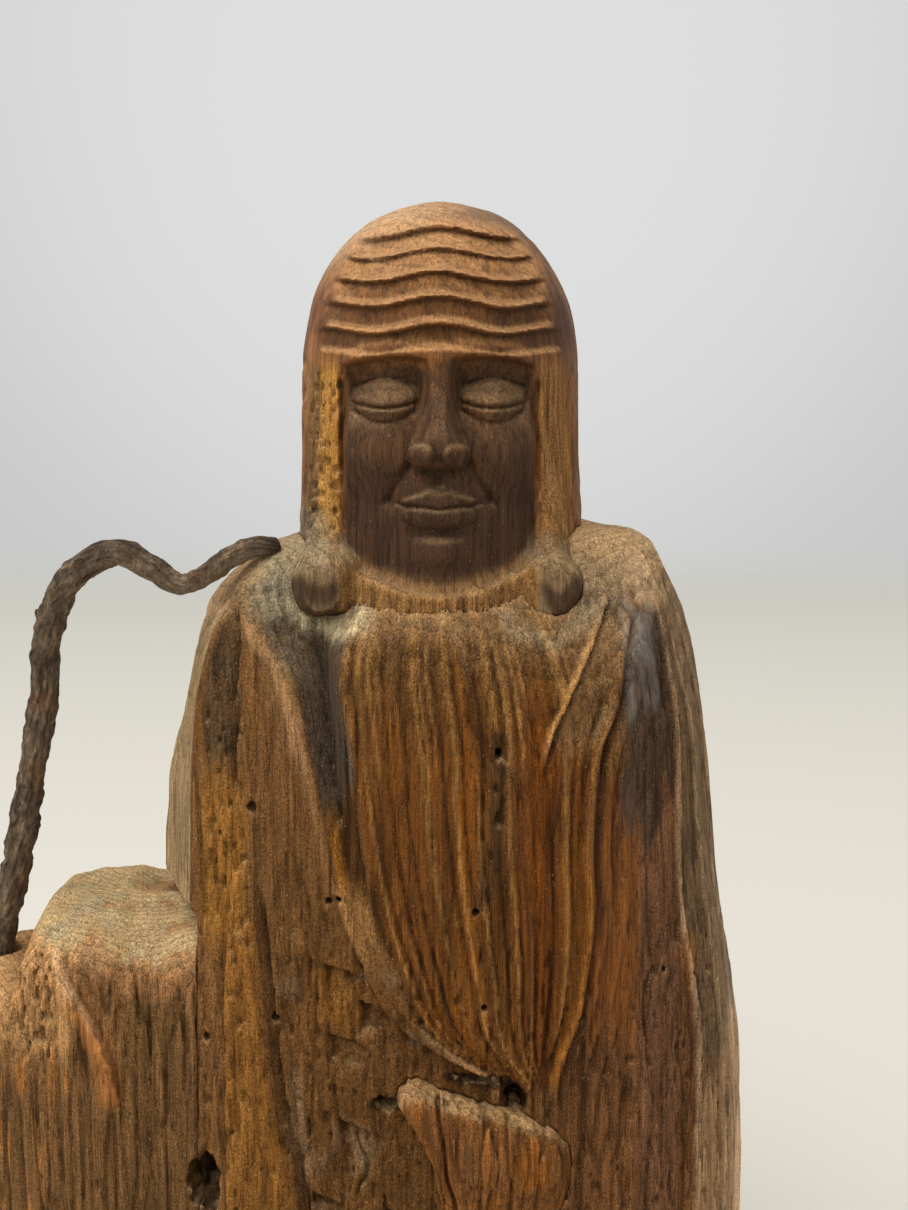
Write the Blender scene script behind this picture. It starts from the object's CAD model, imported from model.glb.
import math

import bpy
import numpy as np
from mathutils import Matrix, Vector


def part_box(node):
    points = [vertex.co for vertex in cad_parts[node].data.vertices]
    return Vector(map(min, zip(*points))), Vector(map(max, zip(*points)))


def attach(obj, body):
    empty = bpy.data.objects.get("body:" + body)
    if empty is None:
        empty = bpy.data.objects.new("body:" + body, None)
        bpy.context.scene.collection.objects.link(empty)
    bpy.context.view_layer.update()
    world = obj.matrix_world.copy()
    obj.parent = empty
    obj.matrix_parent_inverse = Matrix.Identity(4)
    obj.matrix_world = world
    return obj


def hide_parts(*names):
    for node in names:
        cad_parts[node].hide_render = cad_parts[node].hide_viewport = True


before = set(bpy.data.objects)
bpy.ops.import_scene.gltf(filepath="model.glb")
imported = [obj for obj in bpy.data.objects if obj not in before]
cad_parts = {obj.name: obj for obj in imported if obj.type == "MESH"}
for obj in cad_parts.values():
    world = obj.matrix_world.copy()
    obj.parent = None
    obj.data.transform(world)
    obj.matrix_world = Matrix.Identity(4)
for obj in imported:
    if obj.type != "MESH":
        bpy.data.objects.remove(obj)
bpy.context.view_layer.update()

# The carving is sculpted in millimetres, in the CAD frame, and turned into metres when a mesh is made.
# +X is the figure's left hand, which is to the right when it is seen from the front, and -Y is its front.
MM = 0.001
SEAM_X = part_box("arm_limb")[1].x / MM
LIMB_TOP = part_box("arm_limb")[1].z / MM
HEAD_X = (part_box("neck_peg")[0].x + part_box("neck_peg")[1].x) / 2 / MM
HEAD_Y = HEAD_X  # the head's axis lies as far forward of the origin as it lies to the side
PEG_Z = (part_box("neck_peg")[0].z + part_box("neck_peg")[1].z) / 2 / MM
SOCKET_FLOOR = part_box("staff")[0].z / MM
COARSE = 1.0


# ---------------------------------------------------------------- sculpting tools

LATTICE = np.random.default_rng(11).uniform(-1, 1, (32, 32, 32)).astype(np.float32)


def ease(t):
    """0 below 0, 1 above 1 and smooth between."""
    t = np.clip(t, 0, 1)
    return t * t * (3 - 2 * t)


def within(v, low, high, soft):
    """1 between low and high, 0 outside, with soft edges."""
    return ease((v - low) / soft + 0.5) * ease((high - v) / soft + 0.5)


def mix(a, b, share):
    return a + (b - a) * share


def bump(v, width):
    """A soft crest of height 1 at v = 0."""
    return np.exp(-(v / width) ** 2)


def noise(x, y, z, size, seed):
    """Smooth noise from -1 to 1, with lumps of size (x, y, z) mm."""
    cells = []
    shares = []
    for v, s, shift in zip((x, y, z), size, (17.31, 5.73, 11.17)):
        t = v / s + shift * (seed + 1)
        low = np.floor(t)
        shares.append(ease(t - low))
        cells.append(low.astype(np.int32) & 31)
    i, j, k = cells
    u, v, w = shares
    i2, j2, k2 = (i + 1) & 31, (j + 1) & 31, (k + 1) & 31

    def layer(m):
        row, row2 = (mix(LATTICE[i, n, m], LATTICE[i2, n, m], u) for n in (j, j2))
        return mix(row, row2, v)

    return mix(layer(k), layer(k2), w)


def flow(t, stations):
    """A smooth curve through (t, value) stations, level beyond the ends."""
    ts, vs = np.array(sorted(stations), float).T
    slopes = np.gradient(vs, ts)
    i = np.clip(np.searchsorted(ts, t, side="right") - 1, 0, len(ts) - 2)
    span = ts[i + 1] - ts[i]
    s = np.clip((t - ts[i]) / span, 0, 1)
    start = (1 + 2 * s) * (1 - s) ** 2 * vs[i] + s * (1 - s) ** 2 * span * slopes[i]
    end = s * s * (3 - 2 * s) * vs[i + 1] + s * s * (s - 1) * span * slopes[i + 1]
    return start + end


def join(a, b, soft):
    """Smooth union of two distances."""
    h = np.clip(0.5 + 0.5 * (b - a) / soft, 0, 1)
    return mix(b, a, h) - soft * h * (1 - h)


def join_most(a, b, soft):
    """Smooth intersection of two distances."""
    return -join(-a, -b, soft)


def blob(x, y, z, centre, radii):
    """Distance to an ellipsoid, close enough near its surface."""
    q = np.sqrt(sum(((p - c) / r) ** 2 for p, c, r in zip((x, y, z), centre, radii)))
    return (q - 1) * min(radii)


def only(where, field, x, y, z):
    """A field's distances at the points where it matters, and a big distance elsewhere."""
    d = np.full(np.shape(x), 99.0, np.float32)
    d[where] = field(x[where], y[where], z[where])
    return d


def limb_rod(x, y, z, start, end, r_start, r_end):
    """Distance to a tapered rod with round ends."""
    start = np.array(start, float)
    along = np.array(end, float) - start
    px, py, pz = x - start[0], y - start[1], z - start[2]
    s = np.clip((px * along[0] + py * along[1] + pz * along[2]) / along.dot(along), 0, 1)
    gap = np.sqrt((px - s * along[0]) ** 2 + (py - s * along[1]) ** 2 + (pz - s * along[2]) ** 2)
    return gap - mix(r_start, r_end, s)


def lines(x, y, z, size, seed, thin=0.14):
    """1 along thin wandering lines, 0 between them."""
    return bump(noise(x, y, z, size, seed), thin)


def gouges(x, y, z, size, seed):
    """Overlapping gouge cuts: shallow bowls with sharp rims between them, 0 in the deepest."""
    place = [v / s for v, s in zip((x, y, z), size)]
    home = [np.floor(v).astype(np.int32) for v in place]
    lowest = np.full(np.broadcast(x, y, z).shape, 9.0)
    for near in np.ndindex(3, 3, 3):
        cell = [h + n - 1 for h, n in zip(home, near)]
        i, j, k = (c & 31 for c in cell)
        gap = 0
        for axis, (v, c) in enumerate(zip(place, cell)):
            jitter = LATTICE[(i + 7 * axis + seed) & 31, (j + 3 * axis) & 31, (k + 5 * axis) & 31]
            gap = gap + (v - c - 0.5 - 0.4 * jitter) ** 2
        lowest = np.minimum(lowest, gap + 0.35 * (1 + LATTICE[i, j, (k + seed) & 31]))
    return lowest


class Wall:
    """The side of a carved block: a radius for each angle about a vertical axis and each height.

    It starts as flat knife cuts between creases, lines of (z, x, y) that run up the block, given in
    order round it from -X through -Y. Relief is then added along its normal.
    """

    def __init__(self, axis, low, high, creases, relief, worn=2):
        self.axis = axis
        self.low = low
        self.step_z = 0.5
        self.columns = 1440
        heights = np.arange(low, high + self.step_z, self.step_z)
        angles = -math.pi + np.arange(self.columns) * 2 * math.pi / self.columns
        xs = np.array([flow(heights, [(z, x) for z, x, y in line]) for line in creases]) - axis[0]
        ys = np.array([flow(heights, [(z, y) for z, x, y in line]) for line in creases]) - axis[1]
        radius = np.stack([self.polygon(angles, xs[:, k], ys[:, k]) for k in range(len(heights))], 1)
        for _ in range(worn):
            radius = (np.roll(radius, 1, 0) + 2 * radius + np.roll(radius, -1, 0)) / 4
        slope = (np.roll(radius, -1, 0) - np.roll(radius, 1, 0)) * self.columns / (4 * math.pi)
        lean = np.minimum(np.sqrt(1 + (slope / radius) ** 2), 2.0)
        x = axis[0] + radius * np.cos(angles)[:, None]
        y = axis[1] + radius * np.sin(angles)[:, None]
        z = np.broadcast_to(heights, radius.shape)
        self.radius = (radius + relief(x, y, z) * lean).astype(np.float32)
        self.lean = (1 / lean).astype(np.float32)

    @staticmethod
    def polygon(angles, xs, ys):
        """Radius of a closed outline of straight cuts at each angle."""
        corner = np.arctan2(ys, xs)
        order = np.argsort(corner)
        corner, xs, ys = corner[order], xs[order], ys[order]
        i = np.searchsorted(corner, angles) - 1
        x0, y0 = xs[i], ys[i]
        x1, y1 = xs[(i + 1) % len(xs)], ys[(i + 1) % len(xs)]
        return (x0 * y1 - y0 * x1) / (np.cos(angles) * (y1 - y0) - np.sin(angles) * (x1 - x0))

    def distance(self, x, y, z):
        px, py = x - self.axis[0], y - self.axis[1]
        a = (np.arctan2(py, px) / (2 * math.pi) + 0.5) * self.columns
        h = np.clip((z - self.low) / self.step_z, 0, self.radius.shape[1] - 1.001)
        i, k = np.floor(a).astype(np.int32), np.floor(h).astype(np.int32)
        u, w = a - i, h - k
        i, i2 = i % self.columns, (i + 1) % self.columns
        below, above = (mix(self.radius[i, row], self.radius[i2, row], u) for row in (k, k + 1))
        return (np.hypot(px, py) - mix(below, above, w)) * self.lean[i, k]


def net(values, low, cell):
    """Points and quads of the surface where a block of values changes sign."""
    inside = values < 0
    nx, ny, nz = (n - 1 for n in values.shape)
    full = np.zeros((nx, ny, nz), np.uint8)
    corners = [(i, j, k) for i in (0, 1) for j in (0, 1) for k in (0, 1)]
    for i, j, k in corners:
        full += inside[i:nx + i, j:ny + j, k:nz + k]
    where = np.nonzero((full > 0) & (full < 8))
    number = np.full(full.shape, -1, np.int32)
    number[where] = np.arange(len(where[0]), dtype=np.int32)
    total = np.zeros((len(where[0]), 3))
    hits = np.zeros(len(where[0]))
    for axis in range(3):
        for start in [c for c in corners if c[axis] == 0]:
            end = tuple(v + (n == axis) for n, v in enumerate(start))
            a = values[tuple(w + s for w, s in zip(where, start))]
            b = values[tuple(w + e for w, e in zip(where, end))]
            crossed = (a < 0) != (b < 0)
            t = np.where(crossed, a / np.where(crossed, a - b, 1), 0)
            hits += crossed
            for n in range(3):
                total[:, n] += crossed * (start[n] + (t if n == axis else 0))
    points = np.array(low) + (np.stack(where, 1) + total / hits[:, None]) * np.array(cell)
    quads = []
    for turn in ((0, 1, 2), (1, 2, 0), (2, 0, 1)):
        turned = inside.transpose(turn)
        numbers = number.transpose(turn)
        first, second = turned[:-1, 1:-1, 1:-1], turned[1:, 1:-1, 1:-1]
        for one, other in ((first, second), (second, first)):
            i, j, k = np.nonzero(one & ~other)
            quad = np.stack([numbers[i, j, k], numbers[i, j + 1, k], numbers[i, j + 1, k + 1],
                             numbers[i, j, k + 1]], 1)
            quads.append(quad if one is first else quad[:, ::-1])
    return points, np.concatenate(quads)


def main_body(points, quads):
    """The biggest connected part of a surface, without loose crumbs."""
    a = quads.ravel()
    b = np.roll(quads, -1, 1).ravel()
    label = np.arange(len(points))
    while True:
        lowest = np.minimum(label[a], label[b])
        if (label[a] == lowest).all() and (label[b] == lowest).all():
            break
        np.minimum.at(label, label[a], lowest)
        np.minimum.at(label, label[b], lowest)
        label = label[label]
    keep = label == np.bincount(label).argmax()
    number = np.cumsum(keep) - 1
    return points[keep], number[quads[keep[quads[:, 0]]]]


def carve(field, low, high, cell):
    """Points and quads of a sculpted solid: field gives the distance to its surface.

    Distances are worked out in every fourth cell, then in all cells near the surface, and the points of
    the surface are then moved onto it.
    """
    cell = np.array(cell, float) * COARSE
    low = np.array(low, float)
    blocks = np.ceil((np.array(high) - low) / cell / 4).astype(int)
    middles = [low[n] + (np.arange(blocks[n]) * 4 + 1.5) * cell[n] for n in range(3)]
    rough = field(*np.meshgrid(*[m.astype(np.float32) for m in middles], indexing="ij"))
    reach = 2 * np.linalg.norm(cell) + 2.5
    near = (np.abs(rough) < reach).repeat(4, 0).repeat(4, 1).repeat(4, 2)
    values = np.where(rough < 0, -9, 9).astype(np.float32).repeat(4, 0).repeat(4, 1).repeat(4, 2)
    where = np.nonzero(near)
    x, y, z = (np.float32(low[n]) + where[n].astype(np.float32) * np.float32(cell[n]) for n in range(3))
    values[where] = field(x, y, z)
    points, quads = main_body(*net(values, low, cell))
    step = 0.12
    for _ in range(2):
        x, y, z = points.T
        d = field(x, y, z)
        beside = (field(x + step, y, z), field(x, y + step, z), field(x, y, z + step))
        slope = np.stack([b - d for b in beside], 1)
        slope /= step
        move = d[:, None] * slope / np.maximum((slope ** 2).sum(1), 0.3)[:, None]
        points = points - np.clip(move, -0.5 * cell, 0.5 * cell)
    return points, quads


def make_piece(name, points, quads, most_faces=None):
    """A smooth mesh object from points in mm, thinned to at most most_faces triangles."""
    mesh = bpy.data.meshes.new(name)
    mesh.vertices.add(len(points))
    mesh.vertices.foreach_set("co", (np.array(points) * MM).astype(np.float32).ravel())
    mesh.loops.add(quads.size)
    mesh.loops.foreach_set("vertex_index", quads.astype(np.int32).ravel())
    mesh.polygons.add(len(quads))
    mesh.polygons.foreach_set("loop_start", np.arange(0, quads.size, 4, dtype=np.int32))
    mesh.update(calc_edges=True)
    piece = bpy.data.objects.new(name, mesh)
    bpy.context.scene.collection.objects.link(piece)
    if most_faces and 2 * len(quads) > most_faces:
        thin = piece.modifiers.new("thin", "DECIMATE")
        thin.ratio = most_faces / (2 * len(quads))
        evaluated = piece.evaluated_get(bpy.context.evaluated_depsgraph_get())
        thinned = bpy.data.meshes.new_from_object(evaluated)
        piece.modifiers.clear()
        piece.data = thinned
        bpy.data.meshes.remove(mesh)
        thinned.name = name
    piece.data.polygons.foreach_set("use_smooth", np.ones(len(piece.data.polygons), bool))
    return piece


def read(items, key, width, kind=np.float32):
    """One property of many parts of a mesh, as rows of width numbers."""
    values = np.empty(len(items) * width, kind)
    items.foreach_get(key, values)
    return values.reshape(-1, width)


def survey(piece):
    """Each vertex's place in mm, its normal, and how far it lies in a hollow (-1 on a ridge to 1)."""
    mesh = piece.data
    points = read(mesh.vertices, "co", 3) / MM
    normals = read(mesh.vertex_normals, "vector", 3)
    count = len(points)
    a, b = read(mesh.edges, "vertices", 2, np.int32).T
    lift = ((points[b] - points[a]) * normals[a]).sum(1)
    drop = ((points[a] - points[b]) * normals[b]).sum(1)
    degree = np.bincount(a, minlength=count) + np.bincount(b, minlength=count)
    hollow = np.bincount(a, lift, count) + np.bincount(b, drop, count)
    hollow = hollow / np.maximum(degree, 1)
    for _ in range(3):
        spread = np.bincount(a, hollow[b], count) + np.bincount(b, hollow[a], count)
        hollow = mix(hollow, spread / np.maximum(degree, 1), 0.5)
    return points, normals, np.clip(hollow / 0.12, -1, 1)


def unwrap(piece, axis):
    """Lays the surface flat about a vertical axis, its base below and its top above, ready for baking."""
    mesh = piece.data
    corners = read(mesh.loops, "vertex_index", 1, np.int32).ravel()
    starts = read(mesh.polygons, "loop_start", 1, np.int32).ravel()
    sizes = np.diff(np.append(starts, len(corners)))
    facing_up = read(mesh.polygons, "normal", 3)[:, 2]
    points = read(mesh.vertices, "co", 3) / MM
    x, y, z = points[corners].T
    reach = 0.8 * np.hypot(x - axis[0], y - axis[1])
    turn = np.arctan2(y - axis[1], x - axis[0]) / (2 * math.pi) + 0.5
    wraps = np.maximum.reduceat(turn, starts) - np.minimum.reduceat(turn, starts) > 0.5
    turn = turn + (np.repeat(wraps, sizes) & (turn < 0.5))
    base = np.repeat((facing_up < -0.6) & (np.maximum.reduceat(z, starts) < 3), sizes)
    rise = np.where(base, reach - 2 * reach.max(), z - z.min() - reach)
    flat = np.stack([turn / turn.max(), (rise - rise.min()) / np.ptp(rise)], 1) * 0.98 + 0.01
    layer = mesh.uv_layers.new(name="OFBake")
    layer.data.foreach_set("uv", flat.astype(np.float32).ravel())


def colour_in(piece, colours, wax, sandy=0.0):
    """Stores each vertex's wood colour, and how waxed and how sandy it is, for the materials."""
    tint = piece.data.attributes.new("tint", "FLOAT_COLOR", "POINT")
    opaque = np.column_stack([colours, np.ones(len(colours))])
    tint.data.foreach_set("color", opaque.astype(np.float32).ravel())
    for name, values in (("wax", wax), ("sandy", sandy)):
        layer = piece.data.attributes.new(name, "FLOAT", "POINT")
        layer.data.foreach_set("value", np.broadcast_to(values, len(colours)).astype(np.float32))


# ---------------------------------------------------------------- colours

LIGHT_ON_FRONT = 0.66  # share of the light on a level surface that an upright one gets
CONTRAST = 1.15  # deepens the dark colours


def shade(red, green, blue):
    """The linear colour of a surface that should look like this under the scene's light."""
    c = np.array([red, green, blue]) / 255
    linear = np.where(c < 0.04045, c / 12.92, ((c + 0.055) / 1.055) ** 2.4)
    return linear ** CONTRAST / LIGHT_ON_FRONT


def blend_in(colours, colour, share):
    """Mixes one colour into an array of colours."""
    return mix(colours, np.array(colour), np.clip(share, 0, 1)[:, None])


class Coat:
    """The colours of a piece's vertices, built up in layers."""

    def __init__(self, base, count):
        self.colours = np.tile(shade(*base), (count, 1))

    def paint(self, colour, share):
        """Lays a colour over the coat, wholly where share is 1 and not at all where it is 0."""
        self.colours = blend_in(self.colours, shade(*colour), share)


def weather(colours, points, normals, hollow, seed, dust=0.6, sandy=0.0):
    """Streaks along the grain except where it is sandy, dark hollows, and dust on what faces up."""
    x, y, z = points.T
    streak = noise(x, y, z, (1.6, 1.6, 40), seed) * 0.5 + noise(x, y, z, (0.8, 0.8, 22), seed + 1) * 0.5
    streak = streak * (1 - 0.6 * sandy) + 0.5 * sandy * noise(x, y, z, (1.8, 1.8, 1.8), seed + 4)
    patch = noise(x, y, z, (9, 9, 22), seed + 2)
    upright = ease((0.75 - np.abs(normals[:, 2])) / 0.3)
    crack = lines(x, y, z, (2.3, 2.3, 46), 23, 0.10) * upright
    colours = colours * np.exp(0.22 * streak * (0.4 + 0.6 * upright) + 0.14 * patch - 0.45 * crack)[:, None]
    colours = colours * np.exp(-0.85 * np.maximum(hollow, 0) + 0.30 * np.maximum(-hollow, 0))[:, None]
    level = ease((normals[:, 2] - 0.22) / 0.6) * (0.75 + 0.35 * noise(x, y, z, (3, 3, 3), seed + 3))
    return blend_in(colours, shade(168, 142, 106), dust * level)


# ---------------------------------------------------------------- the trunk

# Middles of the ear lobes, which the trunk makes room for
LOBES = ((-26.0, -27.0, 220.0), (19.0, -27.0, 219.4))

# Creases of the trunk, each a line of (z, x, y) up the block, in order from -X round the front to +X
LEFT_EDGE = (
    (0, -73, 2), (60, -72, 2), (100, -70.6, 2), (150, -69.0, 2), (157, -68.6, 2), (164, -67.8, 2),
    (171, -67.4, 2), (178, -65.8, 2), (186, -63.5, 2), (194, -61.7, 2), (205, -59.0, 2), (215, -55.6, 2),
    (235, -45, 2),
)
LEFT_RIDGE = (
    (0, -56, -36), (60, -56.5, -36), (104, -56, -34), (128, -56.5, -31.5), (155, -56.3, -27),
    (184, -55.5, -25.5), (194, -54.6, -25), (202, -52.9, -24.5), (210, -50.1, -24), (215.5, -46.4, -24),
    (235, -38, -20),
)
LEFT_CRACK = (
    (0, -48, -42), (97, -48.1, -39), (122, -47.9, -37), (146, -48.4, -33), (181, -46.6, -31.5),
    (196, -46.2, -30), (214, -44.6, -26.5), (235, -36, -21),
)
LAPEL = (
    (0, -12, -46), (60, -8, -44), (110, -4, -43), (119, -5, -43), (127, -11, -42), (144, -20, -41),
    (162.5, -25.8, -39.5), (174, -27.6, -38.5), (186, -30.3, -37), (193.4, -32, -36), (201.6, -34.7, -34.5),
    (207, -39.0, -32), (216, -42.0, -28), (235, -33, -21),
)
HOLLOW = (
    (0, -4, -46.5), (60, -1, -44.5), (110, 4, -43.5), (119, 2, -43.5), (127, -6, -43), (144, -16, -42),
    (165, -21.8, -39), (175, -23.5, -36), (190, -25.5, -32.5), (207, -27, -29), (217, -27, -27),
    (235, -22, -21),
)
BEARD_LEFT = (
    (0, 5, -47), (110, 10, -44), (119, 9.5, -44.5), (127, -3, -44.5), (144, -12.6, -44), (165, -18, -43.5),
    (186, -20.8, -42), (210, -21.5, -38.5), (218, -17.5, -34), (235, -14, -22),
)
BEARD_MIDDLE = (
    (0, 16, -48), (60, 18, -46), (110, 17, -45.2), (117, 15, -46), (127, 11, -47.5), (144, 8, -48),
    (165, 5, -48), (186, 3, -47), (205, 1, -44), (218, -2, -38.5), (235, -2, -23),
)
BEARD_RIGHT = (
    (0, 24, -46), (60, 26, -44), (110, 22, -44), (117.2, 20.5, -44.5), (123.4, 21.9, -44),
    (131.2, 24.7, -43.5), (140.6, 26.6, -43.5), (152, 27.7, -43.5), (168.6, 27.4, -43), (180.6, 27.9, -42),
    (190, 28.4, -41), (198, 27.5, -40), (208, 24.5, -38), (218, 18, -34), (235, 10, -22),
)
CREST_CREASE = (
    (0, 24, -46), (60, 26, -44), (110, 22, -44), (117.2, 20.5, -44.5), (123.4, 21.9, -44.3),
    (131.2, 24.7, -44), (140.6, 26.6, -43.8), (152, 27.7, -43.6), (168.6, 27.2, -43), (180.6, 27.9, -42),
    (189.7, 29.5, -40.5), (195.6, 32.3, -38.8), (204.6, 33.9, -35.5), (214, 35.0, -30), (235, 28, -19),
)
RIGHT_FRONT = (
    (0, 38, -43), (60, 40, -42), (100, 39, -41), (131.6, 38.2, -39.5), (153.7, 39, -38),
    (175.4, 39.2, -36.5), (192.4, 39.6, -34.5), (207, 39.6, -31), (218, 38.5, -26), (235, 32, -17),
)
RIGHT_RIDGE = (
    (0, 50, -37), (60, 53, -36), (93, 52.3, -35), (110, 52.4, -34), (126.6, 52.2, -32.5),
    (134.2, 51.2, -32), (148, 48.8, -31.5), (155, 47.9, -31), (179, 47.3, -29), (194, 46.6, -27.5),
    (204, 44.8, -26), (214, 42.9, -24), (222, 41, -22), (235, 36, -16),
)
RIGHT_THIRD = (
    (0, 57, -29), (60, 60.5, -28), (91, 60, -27), (111.5, 59.3, -26), (128.5, 58, -24), (143, 56, -23),
    (150.5, 54.8, -22.5), (161, 53.4, -22), (172, 52.4, -21), (185, 51.7, -20), (192, 50.6, -19.5),
    (200, 48.4, -19), (214, 45.5, -17.5), (222, 43.5, -16), (235, 39, -12),
)
RIGHT_FOURTH = (
    (0, 62, -16), (60, 66, -15), (100, 65.5, -14), (124, 63, -13), (140, 60.7, -12.5), (149, 59, -12),
    (174, 56.8, -11), (188, 55.1, -10.5), (203, 51.8, -10), (214, 48.3, -9.5), (222, 45.5, -9),
    (235, 41, -6),
)
RIGHT_EDGE = (
    (0, 66, 3), (60, 70.2, 3), (82, 70, 3), (102.5, 69.8, 3), (120, 67.5, 3), (140.5, 63.8, 3),
    (158, 61.7, 3), (175, 60, 3), (194, 57.1, 3), (208, 54, 3), (219.6, 49.1, 3), (225, 46, 3),
    (235, 42, 3),
)
FACET_EDGES = (RIGHT_RIDGE, RIGHT_THIRD, RIGHT_FOURTH)
TRUNK_TALL = 235  # all creases end at this height, above the shoulders

# The back: its depth, as (z, y), and its corners, as an angle from +X in degrees and a size
BACK_DEPTH = (
    (0, 43), (40, 45), (80, 44.5), (120, 43), (150, 41.5), (180, 39.5), (205, 36.5), (218, 33), (235, 27),
)
BACK_CORNERS = ((24, 1.00), (50, 1.02), (72, 0.98), (98, 1.02), (124, 0.99), (148, 1.02))

# Ochre rib low on the front's -X side: its inner edge, as (z, x), and its outer edge
RIB_EDGE = ((0, -30), (60, -31), (85, -33), (98, -35), (104, -36.7), (123, -39.9), (147, -41.7), (170, -43))
RIB_OUTER_X = -48.3

# Tips of the shoes under the hem, and the half-sizes of each
SHOE_TIPS = ((-19, -47, 3.5), (19, -47, 3.5))
SHOE_SIZE = (11.5, 13.5, 8.5)
PIN_HOLE_RADIUS = 1.7  # hole in the back that the neck peg is driven into
FOOT_GAP = 0.15  # how far the worn foot stands above the floor

# Small worm holes in the front: x, z, radius
WORM_HOLES = (
    (-41.9, 173.8, 1.3), (-25.6, 155.4, 0.9), (-23.6, 156.2, 0.8), (-37.4, 128.5, 1.1), (-52.6, 123.2, 0.9),
    (5.8, 136.0, 0.9), (8.6, 188.0, 1.0), (4.3, 156.1, 1.0), (44.0, 139.0, 0.8), (-31, 74, 1.1),
    (30, 66, 1.0), (-12, 40, 1.2), (47, 52, 0.9),
)
# Bigger rotted gaps: centre and half-sizes
GAPS = (
    ((-13.8, -44, 112.4), (2.9, 9, 1.3)), ((12.4, -46, 115.4), (2.0, 15, 3.2)),
    ((5.0, -46, 118.9), (5.0, 6, 1.1)), ((-52.6, -34, 91.0), (3.0, 9, 7.6)),
)
# Chips knocked out of the front: x and z of the deep upper corner, reach to the right and down, depth
CHIPS = (
    (-27.5, 142.5, 9.0, 10.0, 1.3), (-20.0, 134.0, 9.0, 7.0, 1.7), (-27.5, 127.0, 11.0, 9.0, 1.5),
    (-25.0, 108.5, 10.0, 17.0, 1.5), (-31.0, 92.0, 8.0, 13.0, 1.1), (-15.0, 89.0, 10.0, 13.0, 1.2),
    (-27.0, 70.0, 10.0, 14.0, 1.1),
)
# Long drying cracks in the front, as lines of (z, x), with their width and depth
CRACKS = (
    (((90, -34.0), (98, -36.0), (108, -38.5)), 0.5, 1.6),
    (((92.6, -20.8), (96.5, -18.6), (104.4, -21.3)), 0.5, 1.5),
    (((178, -46.9), (196, -46.3), (213, -45.2)), 0.6, 1.5),
    (((60, -36.0), (76, -33.5), (88, -34.5)), 0.5, 1.3),
    (((120, 41.0), (131, 40.0), (140, 41.5)), 0.4, 1.0), (((40, 12.0), (62, 14.0), (80, 12.5)), 0.5, 1.5),
    (((150, 33.5), (170, 33.0), (187, 34.5)), 0.35, 0.7),
)
# Long drying split down the back, as (z, x)
BACK_SPLIT = ((0, 4), (60, 1), (110, 3.5), (150, -1), (190, 2))
# Crest that runs from the shoulder down the beard's right edge, as (z, x)
CREST = (
    (112, 20.0), (117.2, 20.5), (123.4, 21.9), (131.2, 24.7), (140.6, 26.6), (152.2, 27.7), (168.6, 27.2),
    (180.6, 27.9), (189.7, 29.5), (195.6, 32.3), (204.6, 33.9), (214, 36.0),
)
# Fold that runs from the beard up to the ear lobe, as (z, x)
LOBE_FOLD = ((182, 16.8), (191, 19.2), (196.6, 21.8), (207.9, 27.3), (216, 31.0))
# Line of insect damage in the beard, as (z, x)
EATEN = ((155, 4.5), (164, 7.2), (180, 8.2), (190, 8.6))


def edge_of(line):
    """The (z, x) stations of a crease."""
    return [(z, x) for z, x, y in line]


def beard_share(x, z):
    """0 at the beard's left edge and 1 at its right edge, at each height."""
    left = flow(z, [station for station in edge_of(BEARD_LEFT) if station[0] > 115])
    right = flow(z, [station for station in edge_of(BEARD_RIGHT) if station[0] > 115])
    return (x - left) / np.maximum(right - left, 2.0)


def beard_area(x, z):
    share = beard_share(x, z)
    return ease(share / 0.05) * ease((1.02 - share) / 0.04) * ease((z - 116) / 3)


def strands(x, z):
    """Relief of the beard's strands, in mm: round crests between grooves that fan out from the tip."""
    w = beard_share(x, z) * 44
    w = w + 0.8 * noise(w, z, z, (15, 50, 50), 3)
    deep = 0.55 + 0.45 * ease((200 - z) / 50)
    comb = w / 3.3 + 0.55 * noise(w, w * 0, z, (6, 1, 70), 4)
    gap = 2 * np.abs(comb - np.floor(comb) - 0.5)
    strong = 0.65 + 0.5 * noise(np.floor(comb), w * 0, z, (1, 1, 60), 5)
    thin = w / 1.1 + 0.8 * noise(w, w * 0, z, (3, 1, 60), 7)
    thin_gap = 2 * np.abs(thin - np.floor(thin) - 0.5)
    swell = noise(w, w * 0, z, (4.5, 1, 80), 6)
    return deep * (0.5 * swell - 1.15 * strong * gap ** 4 - 0.20 * thin_gap ** 3)


def amber(x, z):
    """0 to 1 where the beard's wood is clear amber and not dusty."""
    w = beard_share(x, z) * 44
    w = w + 0.9 * noise(w, z, z, (13, 45, 45), 3)
    streak = noise(w, w * 0, z, (1.7, 1, 48), 8) + 0.5 * noise(w, w * 0, z, (0.6, 1, 20), 9)
    return ease((streak + 0.12) / 0.5)


def fibres(x, y, z):
    """Fine weathered relief along the grain, with thin drying cracks."""
    soft = noise(x, y, z, (1.5, 1.5, 34), 21) * 0.15 + noise(x, y, z, (0.8, 0.8, 14), 22) * 0.12
    return soft - 0.30 * lines(x, y, z, (2.3, 2.3, 46), 23, 0.10)


def pits(x, y, z, size, seed, level):
    """0 to 1 where small rotted pits lie."""
    return ease((noise(x, y, z, size, seed) - level) / 0.2)


def porous_area(x, z):
    """Where the trunk's left side is worm-eaten and spongy."""
    middle = flow(z, [(90, -44.5), (140, -46), (170, -48.5), (205, -49)])
    return within(x, middle - 4.5, middle + 4.5, 2) * within(z, 142, 196, 14)


def off_crease(x, y, z, crease):
    """Level distance from a crease."""
    return np.hypot(x - flow(z, edge_of(crease)), y - flow(z, [(z, y) for z, x, y in crease]))


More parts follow.
